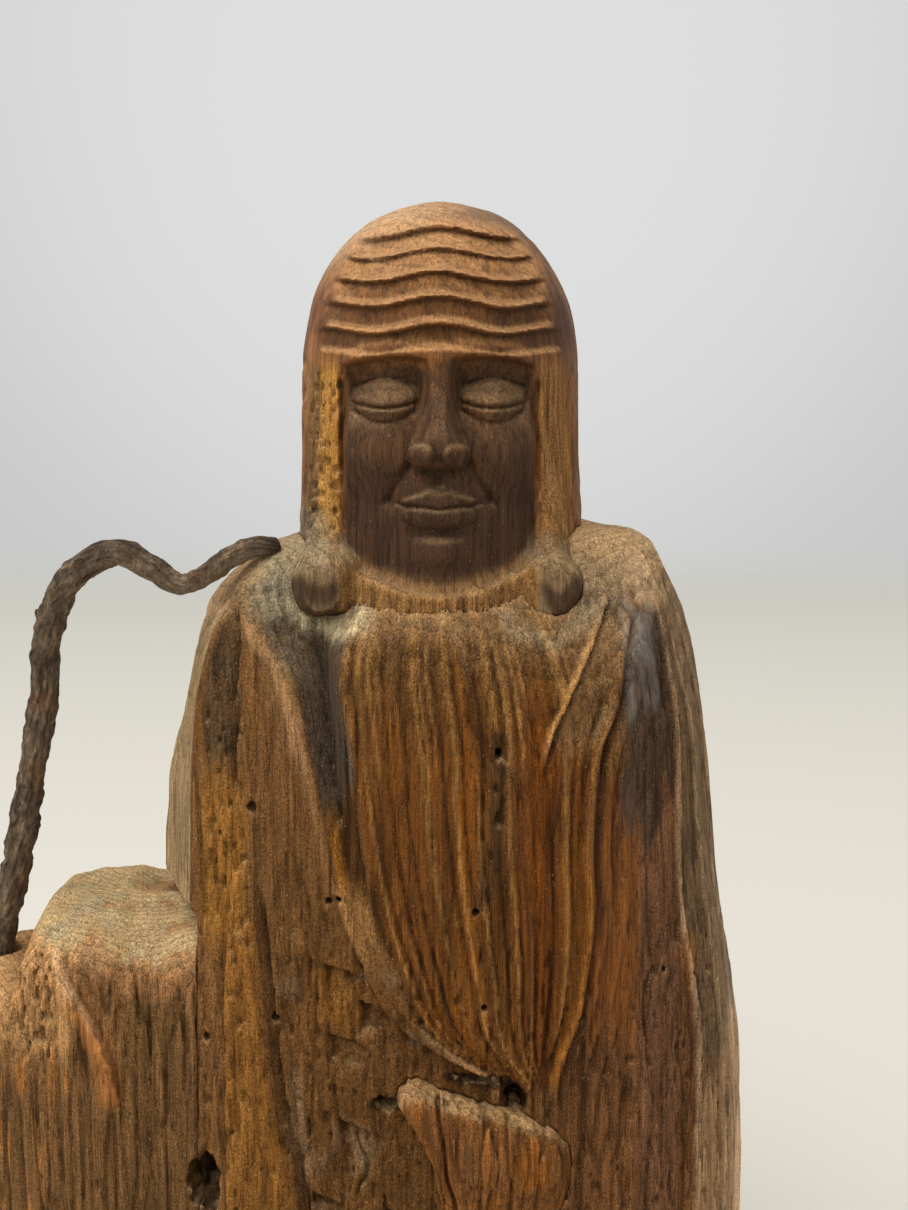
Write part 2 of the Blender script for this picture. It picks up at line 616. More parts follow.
def trunk_relief(x, y, z):
    """What the knife and the weather did to the flat cuts of the trunk, in mm outward."""
    front = ease((-y - 14) / 8)
    area = beard_area(x, z)
    h = fibres(x, y, z) * (1 - 0.6 * front * area) + front * area * strands(x, z)
    crest = flow(z, CREST)
    tall = 0.8 + 0.4 * noise(x, y, z, (20, 20, 16), 11)
    crest_and_ditch = tall * bump(x - crest, 0.8) - 1.2 * bump(x - crest - 2.0, 0.8)
    h = h + front * within(z, 114, 212, 8) * crest_and_ditch
    h = h - front * within(z, 118, 200, 10) * 0.6 * bump(x - crest + 1.9, 0.7)
    fold = flow(z, LOBE_FOLD)
    h = h + front * within(z, 184, 216, 6) * (0.9 * bump(x - fold, 0.7) - 1.3 * bump(x - fold - 1.5, 0.6))
    hollow_fold = within(x, fold + 1.5, crest - 1, 2) * within(z, 190, 216, 8)
    h = h - front * hollow_fold * 0.6
    for shift, size in ((4.4, 0.6), (8.2, 0.5), (12.4, 0.45)):
        line = crest + shift + 0.05 * (z - 150) * shift / 8
        step = ease((x - line + 0.6) / 1.2) - ease((x - line) / 3.4)
        h = h - front * within(z, 60, 196, 30) * size * step
    for crease in FACET_EDGES:
        away = off_crease(x, y, z, crease)
        behind = ease((y - flow(z, [(z, y) for z, x, y in crease])) / 0.8 + 0.5)
        h = h + 0.8 * bump(away, 0.8) - 1.0 * behind * bump(away - 2.2, 1.2)
    # the rounded ochre rib and the grooves beside it
    inner = flow(z, RIB_EDGE)
    middle = (inner + RIB_OUTER_X) / 2
    half = (inner - RIB_OUTER_X) / 2
    round_top = np.sqrt(np.clip(1 - ((x - middle) / half) ** 2, 0, 1))
    rib = front * within(z, 20, 152, 22)
    ditches = 2.0 * bump(x - inner - 1.0, 1.2), 1.0 * bump(x - RIB_OUTER_X + 1.0, 1.0)
    h = h + rib * (1.5 * round_top - ditches[0] - ditches[1])
    h = h + rib * 0.45 * noise(x, y, z, (2, 2, 12), 24) * round_top
    rot = 0.5 * lines(x, y, z, (1.5, 1.5, 16), 29, 0.16) + 0.5 * pits(x, y, z, (1.0, 1.0, 2.5), 30, 0.45)
    h = h - rib * rot
    # the lapel's rolled edge
    lapel = flow(z, edge_of(LAPEL))
    h = h + front * within(z, 172, 214, 8) * 0.8 * bump(x - lapel + 1.2, 1.6)
    # chips, cracks and rot
    wobble = 0.7 * noise(x, y, z, (6, 6, 6), 10) + 0.25 * noise(x, y, z, (1.6, 1.6, 1.6), 39)
    for cx, cz, reach, tall, depth in CHIPS:
        across = (x - cx + wobble) / reach
        down = (cz - z + wobble - 0.30 * (x - cx)) / tall
        wedge = ease(across / 0.07) * ease(down / 0.08) * np.clip(1.2 - across - 0.9 * down, 0, 1)
        h = h - 1.8 * front * depth * wedge
    for line, width, depth in CRACKS:
        ends = within(z, line[0][0], line[-1][0], 4)
        h = h - front * ends * depth * bump(x - flow(z, line) - 0.5 * noise(x, y, z, (2, 2, 3), 12), width)
    rib_side = ease((x - inner - 1) / 3)
    lower_left = front * rib_side * ease((2 - x) / 8) * within(z, 10, 150, 16) * (1 - area)
    h = h - lower_left * 1.5 * (gouges(x, y, z, (9, 9, 15), 13) - 0.5)
    h = h - lower_left * 0.5 * (gouges(x, y, z, (3.6, 3.6, 5), 14) - 0.5)
    left_plane = front * within(x, -55, lapel, 4) * ease((z - 146) / 10)
    h = h - left_plane * 0.5 * (gouges(x, y, z, (5, 5, 17), 15) - 0.5)
    right = front * ease((x - crest - 4) / 3)
    h = h - right * 0.35 * (gouges(x, y, z, (5, 5, 40), 16) - 0.5)
    rolled = front * within(beard_share(x, z), -0.17, -0.01, 0.05) * within(z, 116, 158, 10)
    h = h * (1 - 0.7 * rolled) + 1.3 * rolled
    spongy = front * porous_area(x, z)
    rot = 0.8 * pits(x, y, z, (1.2, 1.2, 2.2), 17, 0.30) + 0.5 * lines(x, y, z, (1.6, 1.6, 10), 18, 0.2)
    h = h - spongy * rot
    h = h - front * 0.4 * pits(x, y, z, (1.2, 1.2, 5), 19, 0.62) * (1 - area)
    off_line = x - flow(z, EATEN) - 0.8 * noise(x, y, z, (4, 4, 6), 25)
    eaten = front * within(z, 157, 192, 6) * bump(off_line, 2.2)
    h = h - eaten * (0.2 + 1.3 * ease((noise(x, y, z, (1.6, 1.6, 3.4), 20) + 0.1) / 0.5))
    # robe folds between hem and hands, and long gouge cuts at the back
    below = ease((84 - z) / 20)
    fold_at = x + 0.12 * (z - 50) * np.sign(x) + 2.5 * noise(x, y, z, (40, 40, 30), 26)
    h = h + below * front * 1.5 * np.sin(fold_at / 3.6)
    back = ease((y - 3) / 8)
    h = h - back * 2.6 * (gouges(x, y, z, (12, 12, 40), 27) - 0.5)
    split = x - flow(z, BACK_SPLIT) - 0.8 * noise(x * 0, x * 0, z, (9, 9, 9), 38)
    h = h - back * ease((y - 20) / 5) * within(z, 12, 176, 30) * 4.2 * bump(split, 0.9)
    h = h - back * 0.4 * pits(x, y, z, (1.5, 1.5, 9), 28, 0.55)
    return h - 0.8 * ease((5 - z) / 5)


# Height of the shoulders from side to side, as (x, z)
SHOULDERS = (
    (-70, 200), (-64, 207), (-58, 213.5), (-52, 218.5), (-46, 222.8), (-38.6, 227), (-30, 229.5),
    (-20, 231), (20, 231), (30, 230.6), (38, 229), (45, 227), (48, 223), (52, 217), (60, 206),
)


def shoulder_top(x, y):
    """Height of the rounded top of the shoulders."""
    fall = 10.5 * np.clip((-y - 9) / 27, 0, 2) ** 2 + 8 * np.clip((y - 6) / 30, 0, 2) ** 2
    return flow(x, SHOULDERS) - fall - 3.0 * bump(x + 3, 17) * ease((-y - 22) / 10)


def back_lines():
    """Creases of the back, from +X round to -X."""
    lines = []
    for angle, size in BACK_CORNERS:
        c, s = math.cos(math.radians(angle)), math.sin(math.radians(angle))
        side = RIGHT_EDGE if c > 0 else LEFT_EDGE
        line = []
        for z, x, y in side:
            depth = float(flow(np.array(z, float), BACK_DEPTH))
            line.append((z, size * abs(x) * math.copysign(abs(c) ** 0.8, c), size * depth * s ** 0.8))
        lines.append(line)
    return lines


def trunk_field_maker(head, hands):
    """Makes the distance to the trunk, which leaves room for the head and the hands."""
    creases = [LEFT_EDGE, LEFT_RIDGE, LEFT_CRACK, LAPEL, HOLLOW, BEARD_LEFT, BEARD_MIDDLE, CREST_CREASE,
               RIGHT_FRONT, RIGHT_RIDGE, RIGHT_THIRD, RIGHT_FOURTH, RIGHT_EDGE] + back_lines()
    wall = Wall((0, 0), 0, TRUNK_TALL, creases, trunk_relief)

    def field(x, y, z):
        d = wall.distance(x, y, z)
        crumb = 0.35 * noise(x, y, z, (2.5, 2.5, 2.5), 31) + 0.5 * noise(x, y, z, (7, 7, 7), 32)
        d = -join(-d, -(z - shoulder_top(x, y) - crumb) * 0.9, 3.5)
        for centre in SHOE_TIPS:
            shoe = blob(x, y, z, centre, SHOE_SIZE) + 0.2 * np.sin(z * 1.1)
            d = join(d, shoe, 2.0)
        d = np.maximum(d, FOOT_GAP - z)
        edge = 0.3 * noise(x, y, z, (2.0, 2.0, 4.0), 33)
        housing = np.maximum(x - SEAM_X + 0.1, z - LIMB_TOP - 0.4)
        d = np.maximum(d, -np.maximum(housing - edge, x - SEAM_X - 0.6))
        for cx, cz, r in WORM_HOLES:
            torn = 0.35 * noise(x, y, z, (1.3, 3, 1.3), 37)
            hole = np.maximum(np.hypot(x - cx, 0.8 * (z - cz)) - 0.8 * r + torn, y + 32)
            d = np.maximum(d, -hole)
        for centre, radii in GAPS:
            rough = blob(x, y, z, centre, radii) + 0.7 * noise(x, y, z, (2, 2, 2), 34)
            d = np.maximum(d, -rough)
        pin_hole = np.maximum(np.hypot(x - HEAD_X, z - PEG_Z) - PIN_HOLE_RADIUS, 30 - y)
        d = np.maximum(d, -pin_hole)
        by_head = (z > 206) & (np.abs(x - HEAD_X) < 42)
        d = np.maximum(d, 0.12 + 0.12 * noise(x, y, z, (3, 3, 3), 35) - only(by_head, head, x, y, z))
        by_hands = (y < -26) & (np.abs(z - 99) < 26) & (np.abs(x - 5) < 26)
        return np.maximum(d, 0.15 + 0.2 * noise(x, y, z, (3, 3, 3), 36) - only(by_hands, hands, x, y, z))

    return field


def trunk_colours(points, normals, hollow):
    """The trunk's colours, and how waxed and how sandy it is."""
    x, y, z = points.T
    front = ease((-y - 12) / 10)
    ragged = 2.2 * noise(x, y, z, (4, 4, 14), 41) + 1.2 * noise(x, y, z, (1.5, 1.5, 6), 42)
    coat = Coat((98, 70, 43), len(points))
    # the -X side: pale outer facet, brown plane, pale lapel edge, charcoal hollow
    ridge = flow(z, edge_of(LEFT_RIDGE))
    lapel = flow(z, edge_of(LAPEL))
    valley = flow(z, edge_of(BEARD_LEFT))
    crest = flow(z, CREST)
    side = ease((ridge - 0.3 - x) / 1.2) * ease((20 - y) / 12)
    coat.paint((132, 112, 84), side)
    coat.paint((160, 128, 100), side * ease((z - 208 - ragged) / 8) * 0.8)
    plane = front * ease((x - ridge) / 1.2) * ease((lapel - x) / 2)
    coat.paint((101, 73, 44), plane)
    coat.paint((80, 62, 43), plane * within(x + 0.3 * ragged, -53, -44.5, 3) * within(z, 168, 213, 12))
    ochre = within(x + 0.4 * ragged, -53.5, -44, 3) * within(z, 143, 180, 14)
    coat.paint((132, 94, 46), front * ochre * 0.8)
    pale = within(z, 186 + ragged, 216, 16) * bump(x - lapel + 1.6, 2.4)
    pale = pale + 0.45 * within(z, 164, 190, 10) * bump(x - lapel + 0.6, 0.8)
    coat.paint((128, 100, 70), front * pale * 0.9)
    gully = front * ease((x - lapel - 0.3 + 0.3 * ragged) / 1.4)
    gully = gully * ease((valley + 0.8 + 0.3 * ragged - x) / 1.4)
    coat.paint((76, 53, 29), gully * within(z, 112, 180, 12))
    coat.paint((124, 84, 32), gully * within(z, 158, 184, 6) * bump(x - lapel - 2.0, 1.2))
    coat.paint((76, 64, 52), gully * ease((z - 170 - 1.5 * ragged - 0.8 * (x + 24)) / 8))
    # the beard: dusty tan at the top, amber streaks below, deep brown in its grooves
    area = front * beard_area(x, z)
    depth = ease((-strands(x, z) - 0.05) / 0.8)
    clear = amber(x, z)
    share = beard_share(x, z)
    high = ease((z - 182 + 1.5 * ragged) / 28)
    low = mix(shade(92, 59, 25)[None, :], shade(102, 62, 17)[None, :], (clear * 0.8)[:, None])
    top = mix(shade(84, 61, 37)[None, :], shade(100, 68, 34)[None, :], (clear * 0.7)[:, None])
    hair = mix(low, top, high[:, None])
    thread = noise(share * 44, x * 0, z, (0.8, 1, 70), 46)
    hair = mix(hair, shade(138, 104, 60)[None, :], (0.55 * ease((thread - 0.25) / 0.3))[:, None])
    hair = mix(hair, shade(66, 42, 18)[None, :], (0.8 * depth)[:, None])
    ruddy = within(share, 0.66, 0.86, 0.12) * (1 - high)
    hair = mix(hair, hair * np.array([0.97, 0.88, 0.86]), ruddy[:, None])
    coat.colours = mix(coat.colours, hair, area[:, None])
    coat.paint((118, 90, 60), front * beard_area(x, z) * ease((z - 208 - 1.5 * ragged) / 5) * 0.5)
    rim = front * within(z, 116, 158, 10) * within(share, -0.17, -0.01, 0.05)
    coat.paint((130, 97, 60), rim * 0.9)
    eaten = front * within(z, 157, 192, 6) * bump(x - flow(z, EATEN) - 0.5 * ragged, 2.4)
    coat.paint((66, 50, 32), eaten * 0.7)
    # the +X side: brown plane, bluish-dark shoulder, clear amber patch, taupe facets
    right = ease((x - crest - 0.6) / 1.2)
    coat.paint((100, 70, 44), front * right)
    coat.paint((86, 60, 39), front * right * within(z, 114, 140, 12) * 0.8)
    coat.paint((116, 86, 54), front * right * within(x, 24, 37.5, 4) * ease((z - 178 - 2 * ragged) / 12))
    patch = within(x + 0.4 * ragged, 27, 38.5, 2.5) * within(z + 2 * ragged, 126, 182, 9)
    coat.paint((103, 65, 29), front * right * patch)
    coat.paint((98, 71, 53), front * right * within(x, 38.5, 48, 2) * ease((182 - z) / 10) * 0.7)
    coat.paint((134, 90, 40), front * within(z, 118, 168, 8) * bump(x - crest, 0.8) * 0.8)
    coat.paint((112, 80, 46), front * within(z, 164, 206, 8) * bump(x - crest, 0.9) * 0.6)
    coat.paint((58, 40, 26), front * within(z, 150, 212, 10) * bump(x - crest - 2.0, 1.0) * 0.7)
    fold = flow(z, LOBE_FOLD)
    coat.paint((150, 112, 68), front * within(z, 188, 212, 6) * bump(x - fold, 0.7) * 0.8)
    wedge = front * within(x, fold + 1, crest - 1.5, 2) * within(z, 188, 216, 6)
    coat.paint((100, 77, 52), wedge * 0.7)
    gloss = front * within(x + 0.9 * ragged, 35.0, 42.0, 3) * within(z + 3 * ragged, 192, 221, 8)
    dusk = front * within(x + 0.9 * ragged, 34.0, 47, 3) * within(z + 4 * ragged, 174, 216, 9)
    coat.paint((66, 53, 42), dusk * 0.9)
    coat.paint((92, 85, 78), gloss * 0.8 * ease(0.6 + 1.3 * noise(x, y, z, (1.2, 1.2, 9), 44)))
    ridge2 = flow(z, edge_of(RIGHT_RIDGE))
    ridge3 = flow(z, edge_of(RIGHT_THIRD))
    outer = ease((x - ridge2 - 0.2) / 0.8) * ease((30 - y) / 14)
    coat.paint((98, 78, 56), outer)
    coat.paint((112, 92, 70), ease((x - ridge3 - 0.2) / 0.8) * ease((30 - y) / 14))
    low_edge = ease((129 - z - 4 * ragged) / 20) * ease((32 - y - 3 * ragged) / 22)
    coat.paint((206, 178, 148), ease((x - ridge3 - 2) / 4) * low_edge)
    coat.paint((140, 112, 84), outer * ease((122 - z - 2 * ragged) / 12) * 0.7)
    coat.paint((104, 98, 88), ease((x - ridge3 - 3) / 3) * within(z + 4 * ragged, 116, 146, 16) * 0.6)
    coat.paint((140, 92, 34), front * bump(x + 0.4 * ragged - 50.4, 1.1) * within(z, 134, 144, 3) * 0.8)
    for crease in FACET_EDGES:
        coat.paint((150, 128, 102), bump(off_crease(x, y, z, crease), 0.7) * 0.7)
    # lower front
    rib_in = flow(z, RIB_EDGE)
    rib = front * ease((x - RIB_OUTER_X + 0.5) / 1) * ease((rib_in + 0.3 - x) / 1) * within(z, 10, 150, 16)
    coat.paint((118, 83, 42), rib)
    coat.paint((100, 70, 38), rib * ease((noise(x, y, z, (1.6, 1.6, 12), 45) - 0.1) / 0.35) * 0.8)
    low = front * ease((x - rib_in - 0.5) / 1.5) * ease((4 - x) / 8) * ease((150 - z) / 12) * (1 - area)
    coat.paint((93, 66, 38), low * 0.85)
    spot = within(x + 1.6 * ragged, -28, -20, 5) * within(z + 2 * ragged, 126, 143, 7)
    coat.paint((126, 88, 40), low * spot * 0.5)
    coat.paint((120, 100, 78), low * ease((noise(x, y, z, (5, 5, 6), 43) - 0.35) / 0.3) * 0.4)
    coat.paint((76, 54, 32), front * bump(x - rib_in - 1.2, 1.2) * within(z, 30, 150, 14) * 0.6)
    for centre, radii in GAPS:
        inside = ease((0.9 - blob(x, y, z, centre, radii)) / 0.6)
        inside = inside * ease((y - centre[1] + 0.3 * radii[1]) / 2)
        coat.paint((28, 18, 10), inside * 0.85)
    # shoulders and the dusty hollows under the ear lobes
    tan = ease((z - 214 - ragged + 0.35 * (x - 36)) / 5) * ease((x - 20) / 4) * ease((49 - x) / 4)
    coat.paint((144, 120, 90), tan * 0.9)
    grey = within(x, 24, 36, 4) * within(z + ragged, 212, 224, 5) * ease((-y - 8) / 8)
    coat.paint((96, 86, 72), grey * 0.6)
    top_left = ease((z - 211 - ragged) / 6) * ease((-21 - x) / 4)
    coat.paint((98, 80, 58), top_left * 0.8)
    coat.paint((120, 116, 98), top_left * within(x, -42, -26, 8) * 0.6)
    for (lx, ly, lz), dusty in zip(LOBES, (0.8, 0.35)):
        ring = np.hypot(x - lx, z - lz) - 9.5 + 0.5 * ragged
        coat.paint((150, 138, 112), front * bump(ring, 1.8) * ease((lz - 2 - z) / 3) * dusty)
    sandy = np.clip(0.9 * low + 0.7 * plane + 0.8 * rim + 0.8 * top_left + 0.8 * tan, 0, 1)
    wax = 0.08 + 0.22 * area * (1 - high) + 0.35 * patch * right
    wax = wax + 0.75 * gloss + 0.15 * outer - 0.2 * top_left
    return weather(coat.colours, points, normals, hollow, 50, 0.40, sandy), np.clip(wax, 0, 1), sandy


# ---------------------------------------------------------------- the head

# Heights of the knife cuts across the brow, and half the width of the face between the ears
BROW_LINES = (271.0, 276.2, 281.4, 286.4, 291.0)
FACE_HALF = 19.6


def dome(dx, dz, rx, rz):
    """1 in the middle of an oval and falling, like a ball, to 0 at its rim."""
    return np.sqrt(np.clip(1 - (dx / rx) ** 2 - (dz / rz) ** 2, 0, 1))


def swell(dx, dz, rx, rz):
    """1 in the middle of an oval, fading softly to 0 at its rim."""
    return ease(1 - np.sqrt((dx / rx) ** 2 + (dz / rz) ** 2))


def face_relief(cx, z):
    """A generic, calm, even face with lowered lids: relief in mm, outward from the head's round front."""
    side = np.abs(cx)
    arch = 1.3 * np.cos((side - 9) / 6.5)
    h = 0.7 * bump(z - 266.0 - arch, 1.9) * ease((20 - side) / 4)
    under = 264.4 + arch - z
    socket = ease(under / 1.1 + 0.5) * (1 - ease((under - 4.5) / 9.5))
    h = h - (3.4 - 0.07 * side) * socket * ease((21 - side) / 4) * ease((side - 1.6) / 3.2)
    h = h + 2.5 * dome(side - 10.9, z - 257.4, 6.6, 4.3)
    slit = 255.9 + 0.030 * (side - 10.9) ** 2
    on_lid = ease((6.9 - np.abs(side - 10.9)) / 0.8)
    h = h + 0.45 * on_lid * ease((z - slit) / 0.3 + 0.5) * ease((slit + 3.2 - z) / 2.5)
    h = h - on_lid * (0.7 * bump(z - slit + 0.25, 0.42) + 0.35 * bump(z - slit + 2.0, 0.45))
    h = h - on_lid * 0.5 * bump(z - 261.3 + 0.026 * (side - 10.9) ** 2, 0.5)
    ridge = flow(z, [(243.2, 0), (244.0, 3.6), (245.8, 5.6), (248.4, 5.9), (252, 4.6), (258, 2.4),
                     (263, 1.1), (268, 0)])
    half = flow(z, [(243, 3.4), (247, 3.9), (251, 3.1), (258, 2.3), (268, 3.2)])
    h = h + ridge * np.clip(1.45 - side / half * 0.9, 0, 1)
    h = h + 1.9 * dome(side - 3.6, z - 246.3, 2.9, 2.4) - 0.9 * dome(side - 2.2, z - 243.9, 1.2, 0.9)
    h = h + 2.4 * swell(side - 12.8, z - 247.2, 10.5, 11.5) + 2.0 * swell(side, z - 235.0, 13, 12)
    fold = 4.8 + 0.62 * (246.5 - z)
    h = h - 0.8 * bump(side - fold, 1.0) * within(z, 236.5, 245.5, 3)
    mouth = 236.0 + 0.012 * cx ** 2 - 0.35 * bump(side, 1.4)
    upper = 238.9 + 0.4 * bump(side - 2.1, 1.3) - 0.028 * cx ** 2
    h = h + 1.0 * ease((8.9 - side) / 2.6) * ease((upper - z) / 1.0 + 0.5) * ease((z - mouth) / 0.4 + 0.5)
    h = h + 1.3 * dome(side, z - 234.4, 7.6, 2.5) * ease((mouth - z) / 0.4 + 0.5)
    h = h - 0.75 * bump(z - mouth, 0.45) * ease((9.6 - side) / 1.6)
    h = h - 0.5 * swell(side - 9.6, z - 236.8, 2.2, 2.2)
    h = h - 0.6 * bump(side, 1.0) * within(z, 240, 242.6, 1.0) - 0.9 * swell(side, z - 230.6, 8, 2.2)
    return h + 2.0 * swell(side, z - 226.0, 10.5, 7.0)


def head_beard(cx, z):
    """1 where the head carries the top of the beard, under its chin."""
    return ease((219.4 + 0.016 * cx ** 2 - z) / 1.8) * ease((FACE_HALF + 1.2 - np.abs(cx)) / 1.4)


def ear_strap(x, y, z, lobe):
    """Distances to the long strap of an ear and to the drop of its lobe."""
    lx, ly, lz = lobe
    out = math.copysign(1, lx - HEAD_X)
    strap = limb_rod(x, y, z, (lx - 1.6 * out, ly + 9.5, 264), (lx, ly + 1.5, lz + 8), 2.6, 5.0)
    drop = blob(x, y, z, (lx, ly - 0.6, lz), (7.6, 8.2, 8.6))
    return strap, drop


def head_field(x, y, z):
    """Distance to the head, with its long ears and the top of its beard."""
    cx, cy = x - HEAD_X, y - HEAD_Y
    side_x = np.abs(cx)
    up = np.maximum(z - 262, 0) / 38.2
    wide = 1 + 0.04 * np.clip((262 - z) / 33, 0, 1)
    q = np.sqrt((cx / (30.4 * wide)) ** 2 + (cy / (32.3 * wide)) ** 2 + up ** 2.3)
    d = (q - 1) * 30.5
    forward = ease((-cy - 8) / 12)
    # even knife steps across the brow: an undercut edge, a flat, then a narrow ledge that faces up
    for n, line in enumerate(BROW_LINES):
        below = line - z + 0.9 * np.cos(cx * math.pi / 12.5) + 0.35 * noise(cx, z, z, (7, 30, 30), 66 + n)
        reach = forward * ease((26.5 - 2.0 * n - side_x) / 5)
        d = d + reach * 1.35 * ease(below / 0.5 + 0.5) * ease((4.9 - below) / 1.7)
    # the face, and the knife cut that parts it from the ears
    face = forward * ease((FACE_HALF + 0.5 - side_x) / 1.2)
    jaw = ease((z - 219.5) / 3)
    d = d - face * jaw * face_relief(cx, z)
    d = d + 1.2 * forward * ease((FACE_HALF + 0.4 - side_x) / 5) * within(z, 222, 263, 5)
    cut = FACE_HALF + 0.3 + 0.4 * noise(z, z, z, (9, 9, 9), 67)
    d = d + forward * within(z, 218, 262, 4) * 1.7 * bump(side_x - cut, 0.8)
    # the beard's top, its strands in line with those on the trunk
    hair = head_beard(cx, z) * forward
    d = d - hair * (1.4 + 0.9 * strands(x, z))
    # long ears, in low relief down each side of the face, with heavy lobes
    rim = np.sqrt(((cy + 7) / 9.0) ** 2 + ((z - 247.5) / 17.5) ** 2)
    outward = ease((side_x - 21) / 5)
    folds = 0.9 * ease((0.9 - rim) / 0.2) - 0.8 * bump(rim - 0.5, 0.14) + 0.5 * bump(rim - 1.08, 0.07)
    d = d + outward * folds
    for lobe in LOBES:
        strap, drop = ear_strap(x, y, z, lobe)
        drop = drop + 1.1 * (gouges(x, y, z, (8, 8, 7), 69) - 0.5)
        flat = -(y - lobe[1] + 7.4 + 0.10 * (z - lobe[2])) * 0.95
        d = join(d, join_most(join(strap, drop, 1.8), flat, 1.0), 1.0)
    d = d + 0.10 * noise(x, y, z, (1.6, 1.6, 12), 61) + 0.25 * noise(x, y, z, (7, 7, 9), 62)
    straps = forward * ease((side_x - FACE_HALF) / 1.2) * within(z, 224, 263, 6)
    cuts = 0.35 * noise(x, y, z, (1.8, 1.8, 17), 65) + 0.5 * (gouges(x, y, z, (4, 4, 14), 68) - 0.5)
    d = d + straps * cuts
    worn = ease((-cx - 19.5) / 2) * ease((cx + 29) / 2) * forward * within(z, 230, 262, 8)
    d = d + worn * 0.9 * ease((noise(x, y, z, (1.3, 1.3, 1.7), 63) - 0.02) / 0.4)
    d = d + ease((cy - 2) / 10) * 1.1 * (gouges(x, y, z, (11, 11, 30), 70) - 0.5)
    bottom = 213.6 - z + 0.6 * noise(x, y, z, (4, 4, 4), 64)
    return join_most(d, bottom, 1.5)


def head_colours(points, normals, hollow):
    """The head's colours and how waxed it is."""
    x, y, z = points.T
    cx, cy = x - HEAD_X, y - HEAD_Y
    forward = ease((-cy - 8) / 12)
    blotch = noise(x, y, z, (8, 8, 14), 71) + 0.5 * noise(x, y, z, (3, 3, 7), 73)
    coat = Coat((116, 79, 43), len(points))
    coat.paint((90, 56, 28), ease((blotch - 0.0) / 0.35) * 0.8)
    coat.paint((152, 122, 90), ease((z - 280) / 12) * ease((10 - cx) / 20) * 0.8)
    coat.paint((70, 42, 28), ease((z - 258) / 16) * ease((cx - 2) / 12) * ease((blotch + 0.6) / 0.5) * 0.9)
    coat.paint((90, 58, 24), forward * within(z, 265, 289, 8) * ease((27 - np.abs(cx)) / 5) * 0.75)
    edge = 264.5 + 1.3 * np.cos((np.abs(cx) - 9) / 6.5) + 1.5 * noise(x, y, z, (3, 3, 3), 74)
    side_x = np.abs(cx)
    face = forward * ease((FACE_HALF + 0.4 - side_x) / 1.5) * ease((z - 218) / 3) * ease((edge - z) / 2.5)
    coat.paint((76, 54, 35), face * 0.95)
    coat.paint((58, 39, 25), face * ease((252 - z) / 14) * 0.7)
    strap = forward * ease((np.abs(cx) - FACE_HALF - 0.4) / 1.2) * within(z, 222, 265, 6)
    coat.paint((142, 106, 58), strap * ease((-cx) / 4) * 0.95)
    coat.paint((120, 90, 57), strap * ease(cx / 4) * 0.95)
    coat.paint((98, 78, 57), strap * ease((-24.0 - cx) / 2) * 0.95)
    for lobe in LOBES:
        lz = lobe[2]
        strap_gap, drop_gap = ear_strap(x, y, z, lobe)
        on = ease((1.5 - np.minimum(strap_gap, drop_gap)) / 0.8) * ease((lz + 13 - z) / 6)
        coat.paint((108, 90, 68), on * 0.9)
        coat.paint((62, 42, 24), on * ease((lz + 4 + 4 * blotch - z) / 3) * 0.9)
        flat = ease((-normals[:, 1] - 0.93) / 0.04) * ease((0.3 + blotch) / 0.4)
        coat.paint((150, 128, 98), on * flat * 0.55)
    coat.paint((112, 102, 84), ease((-21 - cx) / 3) * within(z, 223, 235, 6) * 0.6)
    hair = head_beard(cx, z) * forward
    depth = ease((-strands(x, z) - 0.10) / 0.8)
    beard = mix(shade(122, 92, 58)[None, :], shade(70, 44, 20)[None, :], (depth * 0.8)[:, None])
    coat.colours = mix(coat.colours, beard, hair[:, None])
    crumbs = bump(z - 219.6 - 0.016 * cx ** 2, 1.6) * ease((FACE_HALF - np.abs(cx)) / 2)
    coat.paint((130, 100, 66), forward * crumbs * 0.8)
    ledge = forward * ease((normals[:, 2] - 0.2) / 0.35) * within(z, 264, 294, 2) * ease((28 - side_x) / 4)
    coat.paint((160, 116, 72), ledge * 0.5)
    wax = 0.55 - 0.45 * strap - 0.5 * hair - 0.1 * face
    return weather(coat.colours, points, normals, hollow, 72, 0.25), np.clip(wax, 0, 1)


# ---------------------------------------------------------------- the hands

# Outline of the hands from the front: its top, as (x, z), and its sides, as (z, x)
HANDS_TOP = (
    (-14, 110.5), (-11, 116.0), (-8, 117.8), (-3, 116.2), (5, 114.2), (11, 112.4), (16, 110.8), (20, 108.6),
    (24, 103.5),
)
HANDS_LEFT = ((78, 3), (91.3, -2.7), (103.8, -5.2), (110, -9.0), (114.4, -12.0), (119, -12.5))
HANDS_RIGHT = ((78, 22.5), (92, 24.5), (101, 24.6), (108, 23.0), (114, 19.5), (119, 16))
# Folds of the cloth over the hands: x at mid height, lean and depth
HAND_FOLDS = ((-1.5, -0.16, 1.6), (5.5, 0.05, 0.7), (11.5, -0.04, 1.0), (17.5, 0.07, 0.7))


